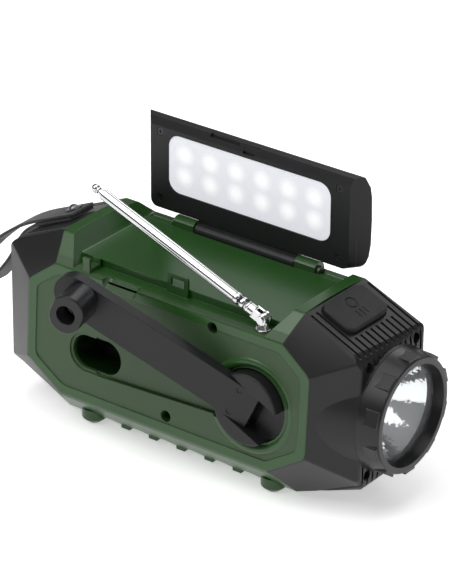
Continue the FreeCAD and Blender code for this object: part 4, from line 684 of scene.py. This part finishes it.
def strap_line(steps):
    """Middle line of the strap in millimetres: out over the corner, round the loop and back."""
    hub = FACE_POINT * 1000.0
    points = [Vector((hub.x + x, 0.0, hub.z + z)) for x, z in STRAP_POINTS]
    line = [points[0]]
    for before, corner, after in zip(points, points[1:], points[2:]):
        back = 0.45 * min((corner - before).length, (after - corner).length)
        start = corner + (before - corner).normalized() * back
        end = corner + (after - corner).normalized() * back
        for step in range(steps + 1):
            share = step / steps
            line.append(start.lerp(corner, share).lerp(corner.lerp(end, share), share))
    return line + [points[-1]]


class RADIO_OT_strap(bpy.types.Operator):
    """Make the webbing strap in place of its plain band"""
    bl_idname = "radio.strap"
    bl_label = "Carry Strap"

    def execute(self, context):
        scene = context.scene
        settings = scene.radio_strap
        line = strap_line(STRAP_BEND_STEPS)
        centre_y = middle("carry_strap").y * 1000.0
        band = bmesh.new()
        half = settings.width / 2
        columns = [half * share for share in (-1.0, -0.9, -0.5, 0.0, 0.5, 0.9, 1.0)]
        weave = band.loops.layers.uv.new("weave")
        row = [band.verts.new((line[0].x * MM, (centre_y + y) * MM, line[0].z * MM)) for y in columns]
        edges = [band.edges.new((a, b)) for a, b in zip(row, row[1:])]
        for start, end in zip(line, line[1:]):
            grown = bmesh.ops.extrude_edge_only(band, edges=edges)["geom"]
            moved = [item for item in grown if isinstance(item, bmesh.types.BMVert)]
            edges = [item for item in grown if isinstance(item, bmesh.types.BMEdge)]
            bmesh.ops.translate(band, verts=moved, vec=(end - start) * MM)
        lengths = [0.0]
        for start, end in zip(line, line[1:]):
            lengths.append(lengths[-1] + (end - start).length)
        for face in band.faces:
            for loop in face.loops:
                place = loop.vert.co * 1000.0
                nearest = min(range(len(line)), key=lambda i: (line[i].x - place.x) ** 2
                              + (line[i].z - place.z) ** 2)
                loop[weave].uv = (lengths[nearest], place.y - centre_y)
        made = piece("strap_webbing", band, "case", webbing(settings))
        wall = made.modifiers.new("Thickness", "SOLIDIFY")
        wall.thickness = settings.thick * MM
        wall.offset = 0.0
        soft = made.modifiers.new("Edge", "BEVEL")
        soft.width = 0.4 * MM
        soft.segments = 2
        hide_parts("carry_strap")
        dress(bright_metal("Strap screws", (0.16, 0.16, 0.17), 0.33, (1.0, 1.0, 1.0)), "strap_anchor")
        return {"FINISHED"}


class RADIO_OT_stage(bpy.types.Operator):
    """Lay the floor, set the lights and aim the camera"""
    bl_idname = "radio.stage"
    bl_label = "Stage"

    def execute(self, context):
        scene = context.scene
        stage = scene.radio_stage
        self.floor(scene, stage)
        self.lights(scene, stage)
        self.camera(scene, stage)
        scene.view_settings.view_transform = "Standard"
        return {"FINISHED"}

    def floor(self, scene, stage):
        ground = bmesh.new()
        bmesh.ops.create_circle(ground, cap_ends=True, segments=96, radius=FLOOR_RADIUS)
        mesh = bpy.data.meshes.new("floor")
        ground.to_mesh(mesh)
        ground.free()
        finish = Finish("Floor")
        cloud = finish.noise(300.0)
        base = finish.blend(stage.floor, shade(stage.floor, 1.02), cloud)
        mesh.materials.append(finish.surface(Base_Color=base, Roughness=0.9, Emission_Color=stage.floor,
                                             Emission_Strength=stage.floor_glow))
        floor = bpy.data.objects.new("floor", mesh)
        scene.collection.objects.link(floor)

    def lights(self, scene, stage):
        world = bpy.data.worlds.new("Soft room")
        scene.world = world
        world.use_nodes = True
        background = world.node_tree.nodes["Background"]
        background.inputs["Color"].default_value = (1.0, 1.0, 1.0, 1.0)
        background.inputs["Strength"].default_value = stage.room
        aim = Vector(stage.aim)
        for name, azimuth, elevation, distance, size, watts in SOFT_BOXES:
            data = bpy.data.lights.new(name, "AREA")
            data.size = size
            data.energy = watts * stage.boxes
            lamp = bpy.data.objects.new(name, data)
            scene.collection.objects.link(lamp)
            lamp.location = aim + around(math.radians(azimuth), math.radians(elevation)) * distance
            lamp.rotation_mode = "QUATERNION"
            lamp.rotation_quaternion = (aim - lamp.location).to_track_quat("-Z", "Y")

    def camera(self, scene, stage):
        data = bpy.data.cameras.new("camera")
        data.sensor_width = 36.0
        data.lens = stage.lens
        data.clip_end = 20.0
        camera = bpy.data.objects.new("camera", data)
        scene.collection.objects.link(camera)
        aim = Vector(stage.aim)
        camera.location = aim + around(stage.azimuth, stage.elevation) * stage.distance
        look = (aim - camera.location).to_track_quat("-Z", "Y")
        camera.rotation_mode = "QUATERNION"
        camera.rotation_quaternion = look @ Quaternion((0, 0, 1), stage.roll)
        scene.camera = camera


def around(azimuth, elevation):
    """Direction from the radio: azimuth 0 faces the crank side, growing towards the torch."""
    return Vector((math.sin(azimuth) * math.cos(elevation), -math.cos(azimuth) * math.cos(elevation),
                   math.sin(elevation)))


OPERATORS = (RADIO_OT_shells, RADIO_OT_caps, RADIO_OT_torch, RADIO_OT_lid, RADIO_OT_crank,
             RADIO_OT_gears, RADIO_OT_antenna, RADIO_OT_display_side, RADIO_OT_strap, RADIO_OT_stage)


class RADIO_PT_panel(bpy.types.Panel):
    """Lists the radio's operators and their settings"""
    bl_label = "Crank Radio"
    bl_idname = "RADIO_PT_panel"
    bl_space_type = "VIEW_3D"
    bl_region_type = "UI"
    bl_category = "Radio"

    def draw(self, context):
        layout = self.layout
        for operator in OPERATORS:
            layout.operator(operator.bl_idname)
        for name in SETTINGS:
            group = getattr(context.scene, name)
            for field in group.__annotations__:
                layout.prop(group, field)


SETTINGS = {"radio_shell": RadioShellSettings, "radio_black": RadioBlackSettings,
            "radio_lamp": RadioLampSettings, "radio_strap": RadioStrapSettings,
            "radio_stage": RadioStageSettings}
CLASSES = tuple(SETTINGS.values()) + OPERATORS + (RADIO_PT_panel,)


def register():
    for made in CLASSES:
        bpy.utils.register_class(made)
    for name, group in SETTINGS.items():
        setattr(bpy.types.Scene, name, PointerProperty(type=group))


def unregister():
    for name in SETTINGS:
        delattr(bpy.types.Scene, name)
    for made in reversed(CLASSES):
        bpy.utils.unregister_class(made)


def main():
    register()
    for operator in OPERATORS:
        area, action = operator.bl_idname.split(".")
        getattr(getattr(bpy.ops, area), action)()


if __name__ == "__main__":
    main()
